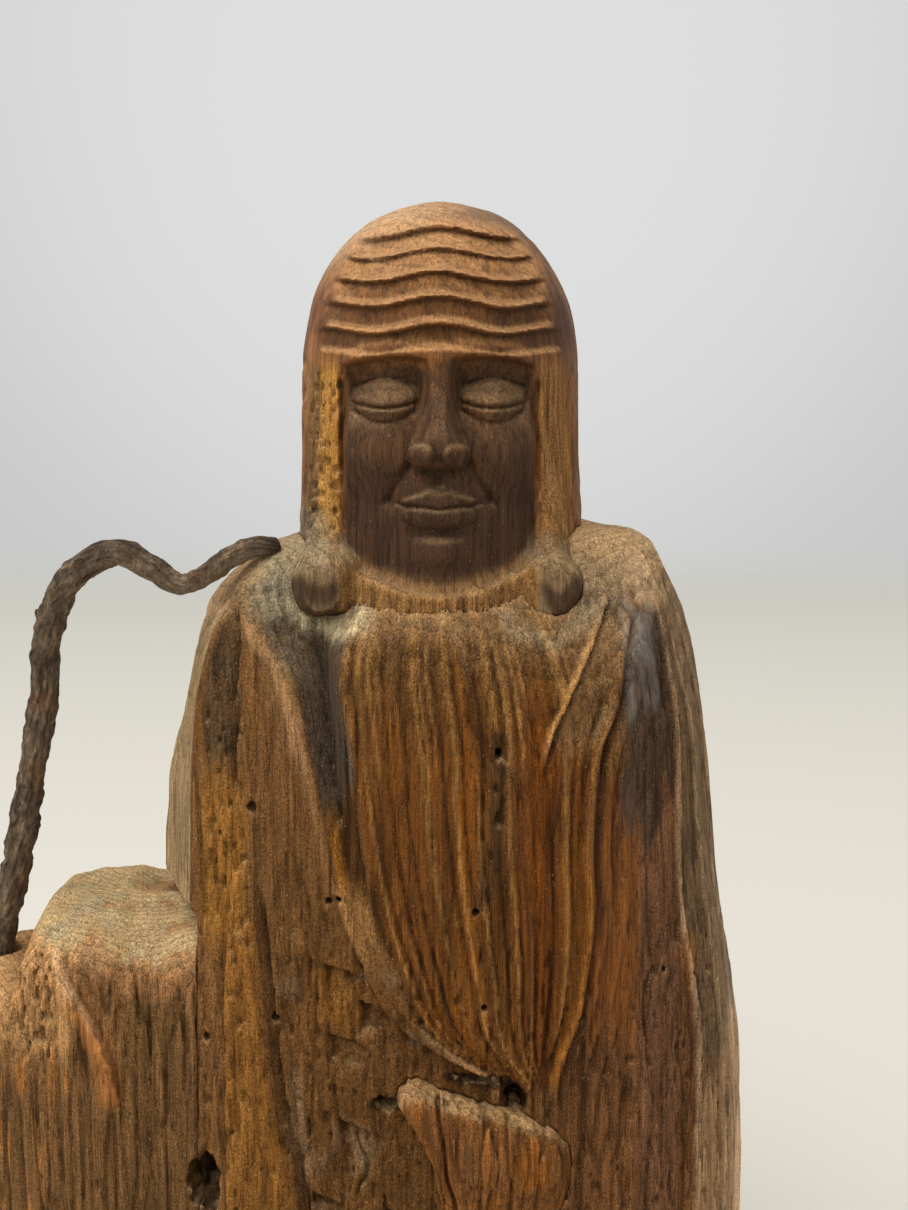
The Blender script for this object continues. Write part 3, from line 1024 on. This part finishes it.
def hands_field(x, y, z):
    """Distance to the hands, wrapped in cloth and held together in front."""
    left, right = flow(z, HANDS_LEFT), flow(z, HANDS_RIGHT)
    ragged = 0.8 * noise(x, y, z, (2.2, 3, 2.2), 81) + 0.5 * noise(x, y, z, (0.9, 2, 0.9), 82)
    across = np.clip((x - left) / (right - left), 0, 1)
    bulge = 6.5 * across ** 3.2 + 2.5 * (1 - across) ** 5 + 0.011 * (z - 104) ** 2
    d = join_most(0.8 * (left - x) + 0.3 * ragged, 0.8 * (x - right), 2.0)
    d = join_most(d, z - flow(x, HANDS_TOP) - ragged, 1.2)
    d = join_most(d, 80 - z, 3.0)
    d = join_most(d, -50.2 - y + bulge, 2.4)
    d = join_most(d, y + 33, 1.0)
    face = ease((-y - 43) / 3)
    d = d + face * 0.7 * (gouges(x, x * 0, z, (6, 1, 18), 83) - 0.5)
    for n, (at, lean, depth) in enumerate(HAND_FOLDS):
        line = at + lean * (z - 100) + 0.9 * noise(x * 0, x * 0, z, (5, 5, 6), 84 + n)
        d = d + depth * bump(x - line, 0.45) * face
    d = d + face * 0.5 * lines(x, y, z, (1.7, 1.7, 22), 88, 0.12)
    return d - fibres(x, y, z)


def hands_colours(points, normals, hollow):
    x, y, z = points.T
    coat = Coat((108, 74, 42), len(points))
    streak = noise(x, y, z, (2, 2, 16), 85)
    coat.paint((132, 84, 36), ease((streak - 0.1) / 0.4) * 0.6)
    coat.paint((88, 66, 44), ease((-streak - 0.2) / 0.4) * 0.6)
    lip = ease((z - flow(x, HANDS_TOP) + 3 + 1.5 * noise(x, y, z, (2, 2, 5), 87)) / 2.5)
    coat.paint((126, 98, 66), lip * 0.9)
    return weather(coat.colours, points, normals, hollow, 86, 0.35), 0.15


# ---------------------------------------------------------------- the limb

LIMB_AXIS = (-82, -4)
# Creases of the limb, each a line of (z, x, y), in order from its front at the seam round by -X to its back
LIMB_CREASES = (
    ((0, -50, 24), (60, -50, 26), (110, -50, 24), (150, -50, 18)),
    ((0, -62, 26), (60, -62, 27), (110, -64, 24), (150, -66, 17)),
    ((0, -84, 23), (56, -90, 24), (106, -96, 20), (134, -90, 16), (150, -84, 11)),
    ((0, -98, 8), (56, -107, 10), (84, -113, 9), (106, -115, 7), (122, -114, 5), (134, -109, 2),
     (150, -100, 0)),
    ((0, -98, -12), (56, -108, -12), (84, -114, -13), (106, -117, -13), (122, -115, -13), (134, -110, -13),
     (150, -103, -12)),
    ((0, -92, -28), (56, -100, -29), (84, -105, -28), (106, -108, -27), (122, -107, -25), (134, -103, -22),
     (150, -97, -17)),
    ((0, -78, -35), (60, -77, -36), (90, -76, -36), (114, -76.5, -35), (125, -80.5, -33.5),
     (134, -86, -31.5), (150, -88, -27)),
    ((0, -66, -34), (60, -67, -35), (100, -67, -34.5), (125, -67, -33), (141, -68, -30.5), (150, -68, -27)),
    ((0, -50, -36), (60, -50, -36), (104, -50, -34), (128, -50, -33), (150, -50, -29)),
)
# Line of resin that runs down the front of the limb, as (z, x)
RESIN_LINE = ((100, -71), (114.7, -73), (125.3, -77.5), (133.8, -83), (145.5, -87))


def limb_relief(x, y, z):
    """What the knife and the weather did to the limb, in mm outward."""
    front = ease((-y - 8) / 10)
    h = fibres(x, y, z) * 1.3 + 0.35 * noise(x, y, z, (3, 3, 40), 91)
    ridge = flow(z, RESIN_LINE)
    step = ease((x - ridge + 5) / 4.5) * ease((ridge - x) / 0.8 + 0.5)
    h = h + front * within(z, 106, 146, 8) * (0.9 * step - 0.7 * bump(x - ridge - 1.2, 0.8))
    groove = flow(z, [(124, -66.6), (132, -67.4), (142, -68.6)])
    h = h - front * within(z, 126, 143, 5) * 1.1 * bump(x - groove, 0.6)
    sponge = front * within(x, -98, -86, 5) * within(z, 118, 143, 8)
    rot = 1.1 * pits(x, y, z, (1.1, 1.1, 1.7), 92, 0.18) + 0.5 * lines(x, y, z, (1.8, 1.8, 12), 105, 0.2)
    h = h - sponge * rot
    h = h - 0.45 * pits(x, y, z, (1.2, 1.2, 6), 93, 0.5)
    low = ease((138 - z) / 8)
    h = h - low * 0.7 * lines(x, y, z, (2.6, 2.6, 34), 94, 0.14)
    h = h - 1.4 * low * (gouges(x, y, z, (6.5, 6.5, 34), 95) - 0.5)
    h = h - ease((y - 2) / 8) * 1.0 * (gouges(x, y, z, (11, 11, 36), 106) - 0.5)
    return h - 0.8 * ease((5 - z) / 5)


def limb_top(x, y):
    """Height of the limb's top: a dusty plateau by the trunk, and a step down to the fist."""
    plateau = LIMB_TOP - 1.9 - 4.6 * np.clip((-y - 6) / 22, 0, 2) ** 1.6
    plateau = plateau - 3 * np.clip((y - 2) / 18, 0, 2) ** 2
    plateau = plateau + 1.1 * noise(x, y, x * 0, (11, 9, 9), 96) + 1.4 * ease((x + 66) / 10)
    plateau = plateau - 9.0 * ease((-89.8 - x) / 7.5) ** 1.5 - 1.6 * ease((x + 77) / 6)
    fist = 132.2 - 0.05 * (x + 104) ** 2 - 3.0 * np.clip((-y - 12) / 14, 0, 2) ** 2
    step = ease((x + 98.6 - 1.2 * noise(x, y, x * 0, (4, 4, 4), 97)) / 3.4)
    return mix(fist, plateau, step)


def limb_field_maker():
    """Makes the distance to the limb, with the open socket in its fist."""
    wall = Wall(LIMB_AXIS, 0, LIMB_CREASES[0][-1][0], LIMB_CREASES, limb_relief)
    hole_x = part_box("staff")[0].x / MM + STAFF_LINE[0][3]
    hole_y = STAFF_LINE[0][1]

    def field(x, y, z):
        d = wall.distance(x, y, z)
        crumb = 0.2 * noise(x, y, z, (2.3, 2.3, 2.3), 107) + 0.7 * noise(x, y, z, (6, 6, 6), 98)
        d = -join(-d, -(z - limb_top(x, y) - crumb) * 0.8, 5.5)
        d = np.maximum(d, x - SEAM_X + 0.15 + 0.3 * noise(x, y, z, (2, 2, 4), 99))
        d = np.maximum(d, FOOT_GAP - z)
        mouth = 3.6 + 1.1 * ease((z - 124) / 8) + 0.25 * noise(x, y, z, (2, 2, 3), 100)
        socket = np.maximum(np.hypot(x - hole_x, y - hole_y) - mouth, SOCKET_FLOOR - 0.3 - z)
        d = np.maximum(d, -socket)
        hollow = blob(x, y, z, (SEAM_X - 0.3, -34, 91), (2.2, 8, 5.6)) + 0.7 * noise(x, y, z, (2, 2, 2), 34)
        return np.maximum(d, -hollow)

    return field


def limb_colours(points, normals, hollow):
    x, y, z = points.T
    front = ease((-y - 6) / 10)
    ragged = 2.0 * noise(x, y, z, (4, 4, 9), 101) + 1.2 * noise(x, y, z, (1.4, 1.4, 5), 108)
    coat = Coat((100, 75, 48), len(points))
    coat.paint((114, 84, 54), ease((noise(x, y, z, (4, 4, 30), 102)) / 0.5) * 0.6)
    streak = ease((noise(x, y, z, (1.6, 1.6, 18), 103) - 0.2) / 0.3) * ease((-76 - x) / 8)
    coat.paint((146, 98, 52), streak * 0.7)
    reach = 2.2 * ragged + 5 * noise(x, y, z * 0, (9, 9, 9), 110)
    coat.paint((126, 94, 64), ease((z - 132 - 1.2 * reach) / 2.5) * 0.9)
    coat.paint((150, 116, 78), front * within(x, -104, -82, 6) * ease((z - 112 - 2 * ragged) / 12) * 0.8)
    ridge = flow(z, RESIN_LINE)
    coat.paint((172, 138, 104), front * within(z, 124, 142, 5) * bump(x - ridge - 0.3 * ragged, 0.9) * 0.7)
    resin = front * within(z + 0.8 * ragged, 108, 130, 4) * bump(x - ridge + 1.0 - 0.5 * ragged, 2.1)
    coat.paint((150, 98, 48), resin * 0.7)
    top = ease((z - 140.0 - 0.7 * reach) / 3) * ease((x + 98) / 3)
    coat.paint((142, 124, 92), top)
    coat.paint((128, 120, 98), top * ease((noise(x, y, z, (4, 4, 4), 109) - 0.1) / 0.4) * 0.7)
    coat.paint((60, 44, 34), ease((x - SEAM_X + 2.5) / 2) * ease((120 - z) / 10) * 0.6)
    return weather(coat.colours, points, normals, hollow, 104, 0.35), 0.03 + 0.6 * resin, 0.9 * top


# ---------------------------------------------------------------- the staff

# The staff's line as in the CAD, and its radius under the bark
STAFF_LINE = (
    (-105.5, -8.0, 98.0, 3.2), (-105.5, -8.0, 115.0, 3.2), (-105.5, -8.0, 131.0, 3.2),
    (-104.2, -8.2, 139.0, 3.3), (-100.8, -8.8, 151.0, 3.2), (-97.8, -9.6, 164.0, 3.3),
    (-95.2, -9.2, 177.0, 3.1), (-93.0, -8.4, 190.0, 3.2), (-91.4, -8.8, 203.0, 3.2),
    (-88.2, -10.0, 213.5, 3.1), (-82.0, -11.0, 221.2, 3.1), (-73.8, -11.4, 224.8, 3.1),
    (-67.0, -12.0, 221.8, 2.7), (-60.2, -13.6, 217.8, 2.4), (-53.6, -16.0, 220.4, 2.4),
    (-47.2, -18.4, 225.0, 2.4), (-41.2, -19.6, 227.0, 2.3), (-36.8, -19.8, 226.6, 1.8),
)


def staff_mesh():
    """A gnarled tube with twisted fibrous bark."""
    knots = np.array(STAFF_LINE, float)
    steps = np.linalg.norm(np.diff(knots[:, :3], axis=0), axis=1)
    along = np.concatenate([[0], np.cumsum(steps)])
    rows = int(along[-1] / (0.42 * COARSE))
    at = np.linspace(0, along[-1], rows)
    line = np.stack([flow(at, list(zip(along, knots[:, n]))) for n in range(3)], 1)
    radius = flow(at, list(zip(along, knots[:, 3])))
    tangent = np.gradient(line, axis=0)
    tangent /= np.linalg.norm(tangent, axis=1)[:, None]
    side = np.cross(tangent, (0, 1, 0))
    side /= np.linalg.norm(side, axis=1)[:, None]
    rise = np.cross(side, tangent)
    turns = int(64 / COARSE)
    angle = np.arange(turns) * 2 * math.pi / turns
    s, a = np.meshgrid(at, angle, indexing="ij")
    ca, sa = np.cos(a + s * 0.045), np.sin(a + s * 0.045)
    flakes = 0.34 * noise(ca * 3, sa * 3, s, (0.9, 0.9, 8), 111)
    flakes = flakes + 0.30 * noise(ca * 3, sa * 3, s, (0.5, 0.5, 3.5), 112)
    lumps = 0.32 * noise(ca * 2, sa * 2, s, (2.2, 2.2, 5.5), 113)
    lumps = lumps + 0.45 * noise(ca * 3, sa * 3, s, (1.3, 1.3, 1.8), 114)
    scale = radius[:, None] / 3.2
    crease = -0.7 * pits(ca * 3, sa * 3, s, (0.8, 0.8, 5), 115, 0.25)
    free = ease((s - 34) / 6)
    tip = np.sqrt(np.clip((along[-1] - s) / 1.2, 0.02, 1))
    foot = np.sqrt(np.clip(s / 1.0, 0.05, 1))
    r = (radius[:, None] + scale * (0.25 + 0.75 * free) * (flakes + lumps + crease) - 0.1) * tip * foot
    outward = np.cos(a)[..., None] * side[:, None, :] + np.sin(a)[..., None] * rise[:, None, :]
    ring = line[:, None, :] + r[..., None] * outward
    i, j = np.meshgrid(np.arange(rows - 1), np.arange(turns), indexing="ij")
    this_row, next_row, j2 = i * turns, (i + 1) * turns, (j + 1) % turns
    quads = np.stack([this_row + j, this_row + j2, next_row + j2, next_row + j], -1)
    return ring.reshape(-1, 3), quads.reshape(-1, 4)


def staff_colours(points, normals, hollow):
    x, y, z = points.T
    coat = Coat((92, 78, 62), len(points))
    coat.paint((62, 50, 38), ease((noise(x, y, z, (2.5, 2.5, 5), 121) - 0.1) / 0.4) * 0.6)
    coat.paint((132, 112, 90), ease((noise(x, y, z, (1.5, 1.5, 3), 122) - 0.2) / 0.4) * 0.5)
    coat.paint((112, 80, 54), ease((noise(x, y, z, (6, 6, 8), 123) - 0.2) / 0.3) * 0.4)
    coat.paint((46, 38, 30), ease((x + 41) / 3) * 0.8)
    dark = np.exp(-1.5 * np.maximum(hollow, 0) + 1.1 * np.maximum(-hollow, 0))
    coat.colours = coat.colours * dark[:, None]
    coat.paint((150, 132, 108), 0.45 * ease((normals[:, 2] - 0.1) / 0.7))
    return coat.colours, 0.05


# ---------------------------------------------------------------- materials

class Signal:
    """A value or colour on its way between nodes; + - * ** and abs() add the maths nodes for it."""

    def __init__(self, nodes, socket):
        self.nodes = nodes
        self.socket = socket

    def __add__(self, other):
        return self.nodes.maths("ADD", self, other)

    def __radd__(self, other):
        return self.nodes.maths("ADD", other, self)

    def __sub__(self, other):
        return self.nodes.maths("SUBTRACT", self, other)

    def __rsub__(self, other):
        return self.nodes.maths("SUBTRACT", other, self)

    def __mul__(self, other):
        return self.nodes.maths("MULTIPLY", self, other)

    def __pow__(self, other):
        return self.nodes.maths("POWER", self, other)

    def __abs__(self):
        return self.nodes.maths("ABSOLUTE", self, 0.0)


class Nodes:
    """A short hand for building the node tree of a material or of the world."""

    def __init__(self, block):
        block.use_nodes = True
        self.tree = block.node_tree

    def add(self, kind, out=0, inputs=(), **settings):
        """Adds a node with its inputs filled, as (socket, value), and returns one of its outputs."""
        node = self.tree.nodes.new(kind)
        for key, value in settings.items():
            setattr(node, key, value)
        for key, value in dict(inputs).items():
            self.plug(value, node.inputs[key])
        return Signal(self, node.outputs[out])

    def plug(self, value, socket):
        if isinstance(value, Signal):
            self.tree.links.new(value.socket, socket)
        else:
            socket.default_value = value

    def maths(self, operation, a, b):
        return self.add("ShaderNodeMath", 0, ((0, a), (1, b)), operation=operation)

    def vector(self, operation, out, a, b):
        return self.add("ShaderNodeVectorMath", out, ((0, a), (1, b)), operation=operation)

    def spread(self, value, low, high, to_low, to_high, shape="LINEAR"):
        inputs = zip(range(5), (value, low, high, to_low, to_high))
        return self.add("ShaderNodeMapRange", 0, inputs, interpolation_type=shape)

    def blend(self, kind, share, a, b):
        inputs = (("Factor", share), ("A", a), ("B", b))
        return self.add("ShaderNodeMix", "Result", inputs, data_type="RGBA", blend_type=kind)


class Shader(Nodes):
    """A material and its nodes, with patterns in the piece's own coordinates."""

    def __init__(self, name):
        self.material = bpy.data.materials.new(name)
        super().__init__(self.material)
        self.surface = self.tree.nodes["Principled BSDF"]
        self.place = self.add("ShaderNodeTexCoord", "Object")

    def attribute(self, name, output):
        return self.add("ShaderNodeAttribute", output, attribute_name=name)

    def moved(self, **inputs):
        return self.add("ShaderNodeMapping", 0, {"Vector": self.place, **inputs})

    def noise(self, size, detail=2.0, distortion=0.0, rough=0.5):
        """Noise in lumps of size (x, y, z) mm."""
        stretched = self.moved(Scale=[1 / (s * MM) for s in size])
        inputs = {"Vector": stretched, "Scale": 1.0, "Detail": detail, "Distortion": distortion,
                  "Roughness": rough}
        return self.add("ShaderNodeTexNoise", "Fac", inputs)

    def rings(self, middle, gap):
        """Growth rings, gap mm apart, about a pith at middle (x, y) mm."""
        about_pith = self.moved(Location=[-middle[0] * MM, -middle[1] * MM, 0], Scale=[1, 1, 0.06])
        inputs = {"Vector": about_pith, "Scale": 0.31416 / (gap * MM), "Distortion": 2.4, "Detail": 3.0,
                  "Detail Scale": 0.6}
        return self.add("ShaderNodeTexWave", "Fac", inputs, wave_type="RINGS", rings_direction="SPHERICAL",
                        wave_profile="SAW")

    def times(self, colour, value):
        """A colour made lighter or darker by a value."""
        grey = self.add("ShaderNodeCombineColor", 0, zip(range(3), (value, value, value)))
        return self.blend("MULTIPLY", 1.0, colour, grey)

    def finish(self, colour, roughness, relief, depth, specular=0.4):
        """Fills the surface, with relief standing depth mm proud."""
        bumps = self.add("ShaderNodeBump", 0, {"Distance": depth * MM, "Strength": 1.0, "Height": relief})
        for key, value in (("Base Color", colour), ("Roughness", roughness), ("Normal", bumps),
                           ("Specular IOR Level", specular)):
            self.plug(value, self.surface.inputs[key])
        return self.material


def carved_wood(name, pith, ring_gap=1.9, rough=0.9):
    """Weathered softwood: growth rings about a pith, fibres along Z, grit, dust specks and wax."""
    s = Shader(name)
    tint = s.attribute("tint", "Color")
    wax = s.attribute("wax", "Fac")
    grit = 1.0 - wax
    sandy = s.attribute("sandy", "Fac")
    lined = 1.0 - sandy * 0.65
    fibre = s.noise((0.8, 0.8, 34), 4.0, 0.3, 0.66)
    thread = s.noise((0.26, 0.26, 11), 3.0, 0.0, 0.62)
    speck = s.noise((0.34, 0.34, 0.38), 2.0, 0.0, 0.7)
    sand = s.noise((0.75, 0.75, 0.8), 4.0, 0.2, 0.8)
    split = s.spread(abs(s.noise((1.1, 1.1, 60), 2.0, 0.3, 0.55) - 0.5), 0.0, 0.014, 1.0, 0.0)
    late = s.rings(pith, ring_gap) ** 4.0
    value = 1.0 + s.spread(fibre, 0.30, 0.70, -0.34, 0.30) * lined
    value = value * (1.0 + s.spread(sand, 0.34, 0.66, -0.30, 0.34) * sandy)
    value = value * s.spread(thread, 0.3, 0.7, 0.84, 1.16)
    value = value * (1.0 + (s.spread(speck, 0.32, 0.68, 0.48, 1.60) - 1.0) * grit)
    value = value * s.spread(late, 0.0, 1.0, 1.06, 0.74)
    value = value * s.spread(split, 0.0, 1.0, 1.0, 0.62)
    pale = s.spread(s.noise((0.55, 0.55, 0.6), 1.0), 0.73, 0.76, 0.0, 0.45)
    colour = s.blend("MIX", pale * grit, s.times(tint, value), (0.40, 0.31, 0.20, 1))
    roughness = rough - wax * 0.50 + s.spread(speck, 0.3, 0.7, -0.07, 0.07)
    relief = (fibre * 0.9 + thread * 0.35) * lined + sand * sandy * 1.3
    relief = relief + speck * grit * 0.8 - late * 0.25 - split * 0.4
    return s.finish(colour, roughness, relief, 0.40, 0.03 + wax ** 1.6 * 0.42)


def bark(name):
    """Flaking, dusty bark."""
    s = Shader(name)
    flake = s.noise((0.7, 0.7, 1.6), 3.0, 0.5)
    speck = s.noise((0.22, 0.22, 0.3), 2.0)
    value = s.spread(flake, 0.3, 0.7, 0.62, 1.35) * s.spread(speck, 0.3, 0.7, 0.75, 1.25)
    colour = s.times(s.attribute("tint", "Color"), value)
    return s.finish(colour, s.spread(flake, 0.3, 0.7, 0.95, 0.75), flake + speck * 0.5, 0.8, 0.25)


def plain_wood(name, light, dark, along):
    """Turned dowel or split bamboo, with its grain along one axis."""
    s = Shader(name)
    size = [0.35, 0.35, 0.35]
    size[along] = 9.0
    grain = s.noise(size, 3.0, 0.4)
    fine = s.noise([v * 0.4 for v in size], 2.0)
    colour = s.blend("MIX", s.spread(grain, 0.3, 0.7, 0.0, 1.0), (*light, 1), (*dark, 1))
    colour = s.times(colour, s.spread(fine, 0.3, 0.7, 0.85, 1.12))
    return s.finish(colour, s.spread(grain, 0.3, 0.7, 0.6, 0.8), grain + fine, 0.12)


# ---------------------------------------------------------------- pieces

def place_piece(name, solid, colours, material, node, body, axis=None):
    """Makes and colours a piece that rides on a body and stands in for a CAD node."""
    piece = make_piece(name, *solid)
    if axis:
        unwrap(piece, axis)
    points, normals, hollow = survey(piece)
    colour_in(piece, *colours(points, normals, hollow))
    piece.data.materials.append(material)
    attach(piece, body)
    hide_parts(node)
    return piece


# What each carving is sought in: the low and high corners of a box, and the size of its cells
TRUNK_GRID = ((-79, -66, -2), (76, 50, 236), (0.55, 0.6, 0.8))
HEAD_GRID = ((-42, -50, 208), (36, 38, 303), (0.5, 0.5, 0.5))
LIMB_GRID = ((-124, -44, -2), (-52, 34, 153), (0.6, 0.6, 0.8))
HANDS_GRID = ((-18, -58, 74), (30, -28, 124), (0.5, 0.5, 0.6))
# The most faces that each keeps
TRUNK_FACES = 300000
HEAD_FACES = 150000
LIMB_FACES = 110000
HANDS_FACES = 30000


def build_figure():
    trunk = carve(trunk_field_maker(head_field, hands_field), *TRUNK_GRID)
    robe_wood = carved_wood("robe_wood", (6, 14))
    place_piece("carved_trunk", (*trunk, TRUNK_FACES), trunk_colours, robe_wood,
                "trunk_block", "figure", (-3, 0))
    head = carve(head_field, *HEAD_GRID)
    head_wood = carved_wood("head_wood", (14, 22), 2.4, 0.86)
    place_piece("carved_head", (*head, HEAD_FACES), head_colours, head_wood,
                "head_block", "figure", (HEAD_X, HEAD_Y))
    limb = carve(limb_field_maker(), *LIMB_GRID)
    limb_wood = carved_wood("limb_wood", (-70, 20), 1.7, 0.95)
    place_piece("carved_limb", (*limb, LIMB_FACES), limb_colours, limb_wood,
                "arm_limb", "figure", LIMB_AXIS)
    hands = carve(hands_field, *HANDS_GRID)
    hand_wood = carved_wood("hand_wood", (10, -20), 2.2)
    place_piece("carved_hands", (*hands, HANDS_FACES), hands_colours, hand_wood,
                "hand_block", "figure")
    place_piece("vine_staff", staff_mesh(), staff_colours, bark("vine_bark"),
                "staff", "loose_staff")


def dress_dowels():
    softwood = ((0.50, 0.34, 0.17), (0.38, 0.23, 0.10))
    split_bamboo = ((0.58, 0.43, 0.20), (0.44, 0.30, 0.12))
    for node, name, colours, along in (("limb_dowels", "dowel_wood", softwood, 0),
                                       ("hand_dowel", "hand_dowel_wood", softwood, 1),
                                       ("neck_peg", "bamboo", split_bamboo, 1)):
        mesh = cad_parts[node].data
        mesh.materials.clear()
        mesh.materials.append(plain_wood(name, *colours, along))


# ---------------------------------------------------------------- stage, light and camera

# Light of the room: direction, where its glow starts and is full (cosines), strength and colour
ROOM_LIGHT = (
    ((0, 0, 1), -2.0, -1.5, 0.22, (1.0, 0.98, 0.95)),
    ((0, 1, -0.05), 0.45, 0.75, 0.37, (0.985, 1.0, 1.0)),
    ((0, 0.97, 0.25), 0.88, 1.0, 0.15, (0.95, 1.0, 1.0)),
    ((-0.35, -0.30, 0.88), 0.10, 0.95, 1.50, (1.0, 0.985, 0.96)),
    ((-0.90, -0.40, 0.20), 0.20, 0.95, 0.45, (1.0, 0.98, 0.94)),
    ((0.97, -0.05, 0.20), 0.35, 0.95, 0.55, (0.97, 0.99, 1.0)),
)


# The table top, in metres: half its width, its near and far edges, and where its far end fades out
TABLE_HALF = 6
TABLE_NEAR = -3
TABLE_FAR = 2.4
TABLE_FADE = (1.3, 2.4)
# Its colour near by and far away, and where one turns into the other
PAPER_NEAR = (0.49, 0.47, 0.42, 1)
PAPER_FAR = (0.41, 0.405, 0.37, 1)
PAPER_TURN = (0.3, 1.6)

LAMP_AT = (-0.35, -0.30, 1.3)
LAMP_TOWARDS = (0, 0, 0.15)
LAMP_SIZE = 0.7
LAMP_POWER = 8.0

CAMERA_AT = (0, -0.285, 0.2515)
CAMERA_DOWN = 8  # degrees below level
CAMERA_LENS = 37.2
CAMERA_SENSOR = 36


def put_in_scene(name, data):
    thing = bpy.data.objects.new(name, data)
    bpy.context.scene.collection.objects.link(thing)
    return thing


def make_stage():
    """A table top of matt paper."""
    mesh = bpy.data.meshes.new("floor")
    corners = [(x, y, 0) for x, y in ((-TABLE_HALF, TABLE_NEAR), (TABLE_HALF, TABLE_NEAR),
                                      (TABLE_HALF, TABLE_FAR), (-TABLE_HALF, TABLE_FAR))]
    mesh.from_pydata(corners, [], [(0, 1, 2, 3)])
    s = Shader("floor_paper")
    back = s.add("ShaderNodeSeparateXYZ", "Y", ((0, s.place),))
    colour = s.blend("MIX", s.spread(back, *PAPER_TURN, 0.0, 1.0), PAPER_NEAR, PAPER_FAR)
    fade = s.spread(back, *TABLE_FADE, 1.0, 0.0, "SMOOTHSTEP")
    matt = {"Base Color": colour, "Roughness": 0.9, "Specular IOR Level": 0.1, "Alpha": fade}
    for key, value in matt.items():
        s.plug(value, s.surface.inputs[key])
    mesh.materials.append(s.material)
    floor = put_in_scene("floor", mesh)


def make_world():
    """A bright room: the pale wall behind, a soft light from above and the left, and a dimmer right."""
    world = bpy.data.worlds.new("studio")
    w = Nodes(world)
    way = w.add("ShaderNodeTexCoord", "Generated")
    total = None
    for towards, start, full, strength, colour in ROOM_LIGHT:
        length = math.sqrt(sum(v * v for v in towards))
        facing = w.vector("DOT_PRODUCT", "Value", way, [v / length for v in towards])
        share = w.spread(facing, start, full, 0.0, strength, "SMOOTHSTEP")
        glow = w.add("ShaderNodeVectorMath", 0, ((0, colour), ("Scale", share)), operation="SCALE")
        total = glow if total is None else w.vector("ADD", 0, total, glow)
    background = w.tree.nodes["Background"]
    w.plug(total, background.inputs["Color"])
    w.plug(1.0, background.inputs["Strength"])
    bpy.context.scene.world = world


def add_lamp():
    """A square lamp high on the left."""
    data = bpy.data.lights.new("ceiling", "AREA")
    data.shape = "SQUARE"
    data.size = LAMP_SIZE
    data.energy = LAMP_POWER
    lamp = put_in_scene("ceiling", data)
    lamp.location = LAMP_AT
    away = np.array(lamp.location) - np.array(LAMP_TOWARDS)
    tilt = math.atan2(math.hypot(away[0], away[1]), away[2])
    lamp.rotation_euler = (tilt, 0, math.atan2(away[0], -away[1]))


def make_camera():
    data = bpy.data.cameras.new("camera")
    data.sensor_width = CAMERA_SENSOR
    data.lens = CAMERA_LENS
    camera = put_in_scene("camera", data)
    camera.location = CAMERA_AT
    camera.rotation_euler = (math.radians(90 - CAMERA_DOWN), 0, 0)
    bpy.context.scene.camera = camera


make_camera()
make_stage()
make_world()
add_lamp()
build_figure()
dress_dowels()
bpy.context.scene.view_settings.view_transform = "Standard"
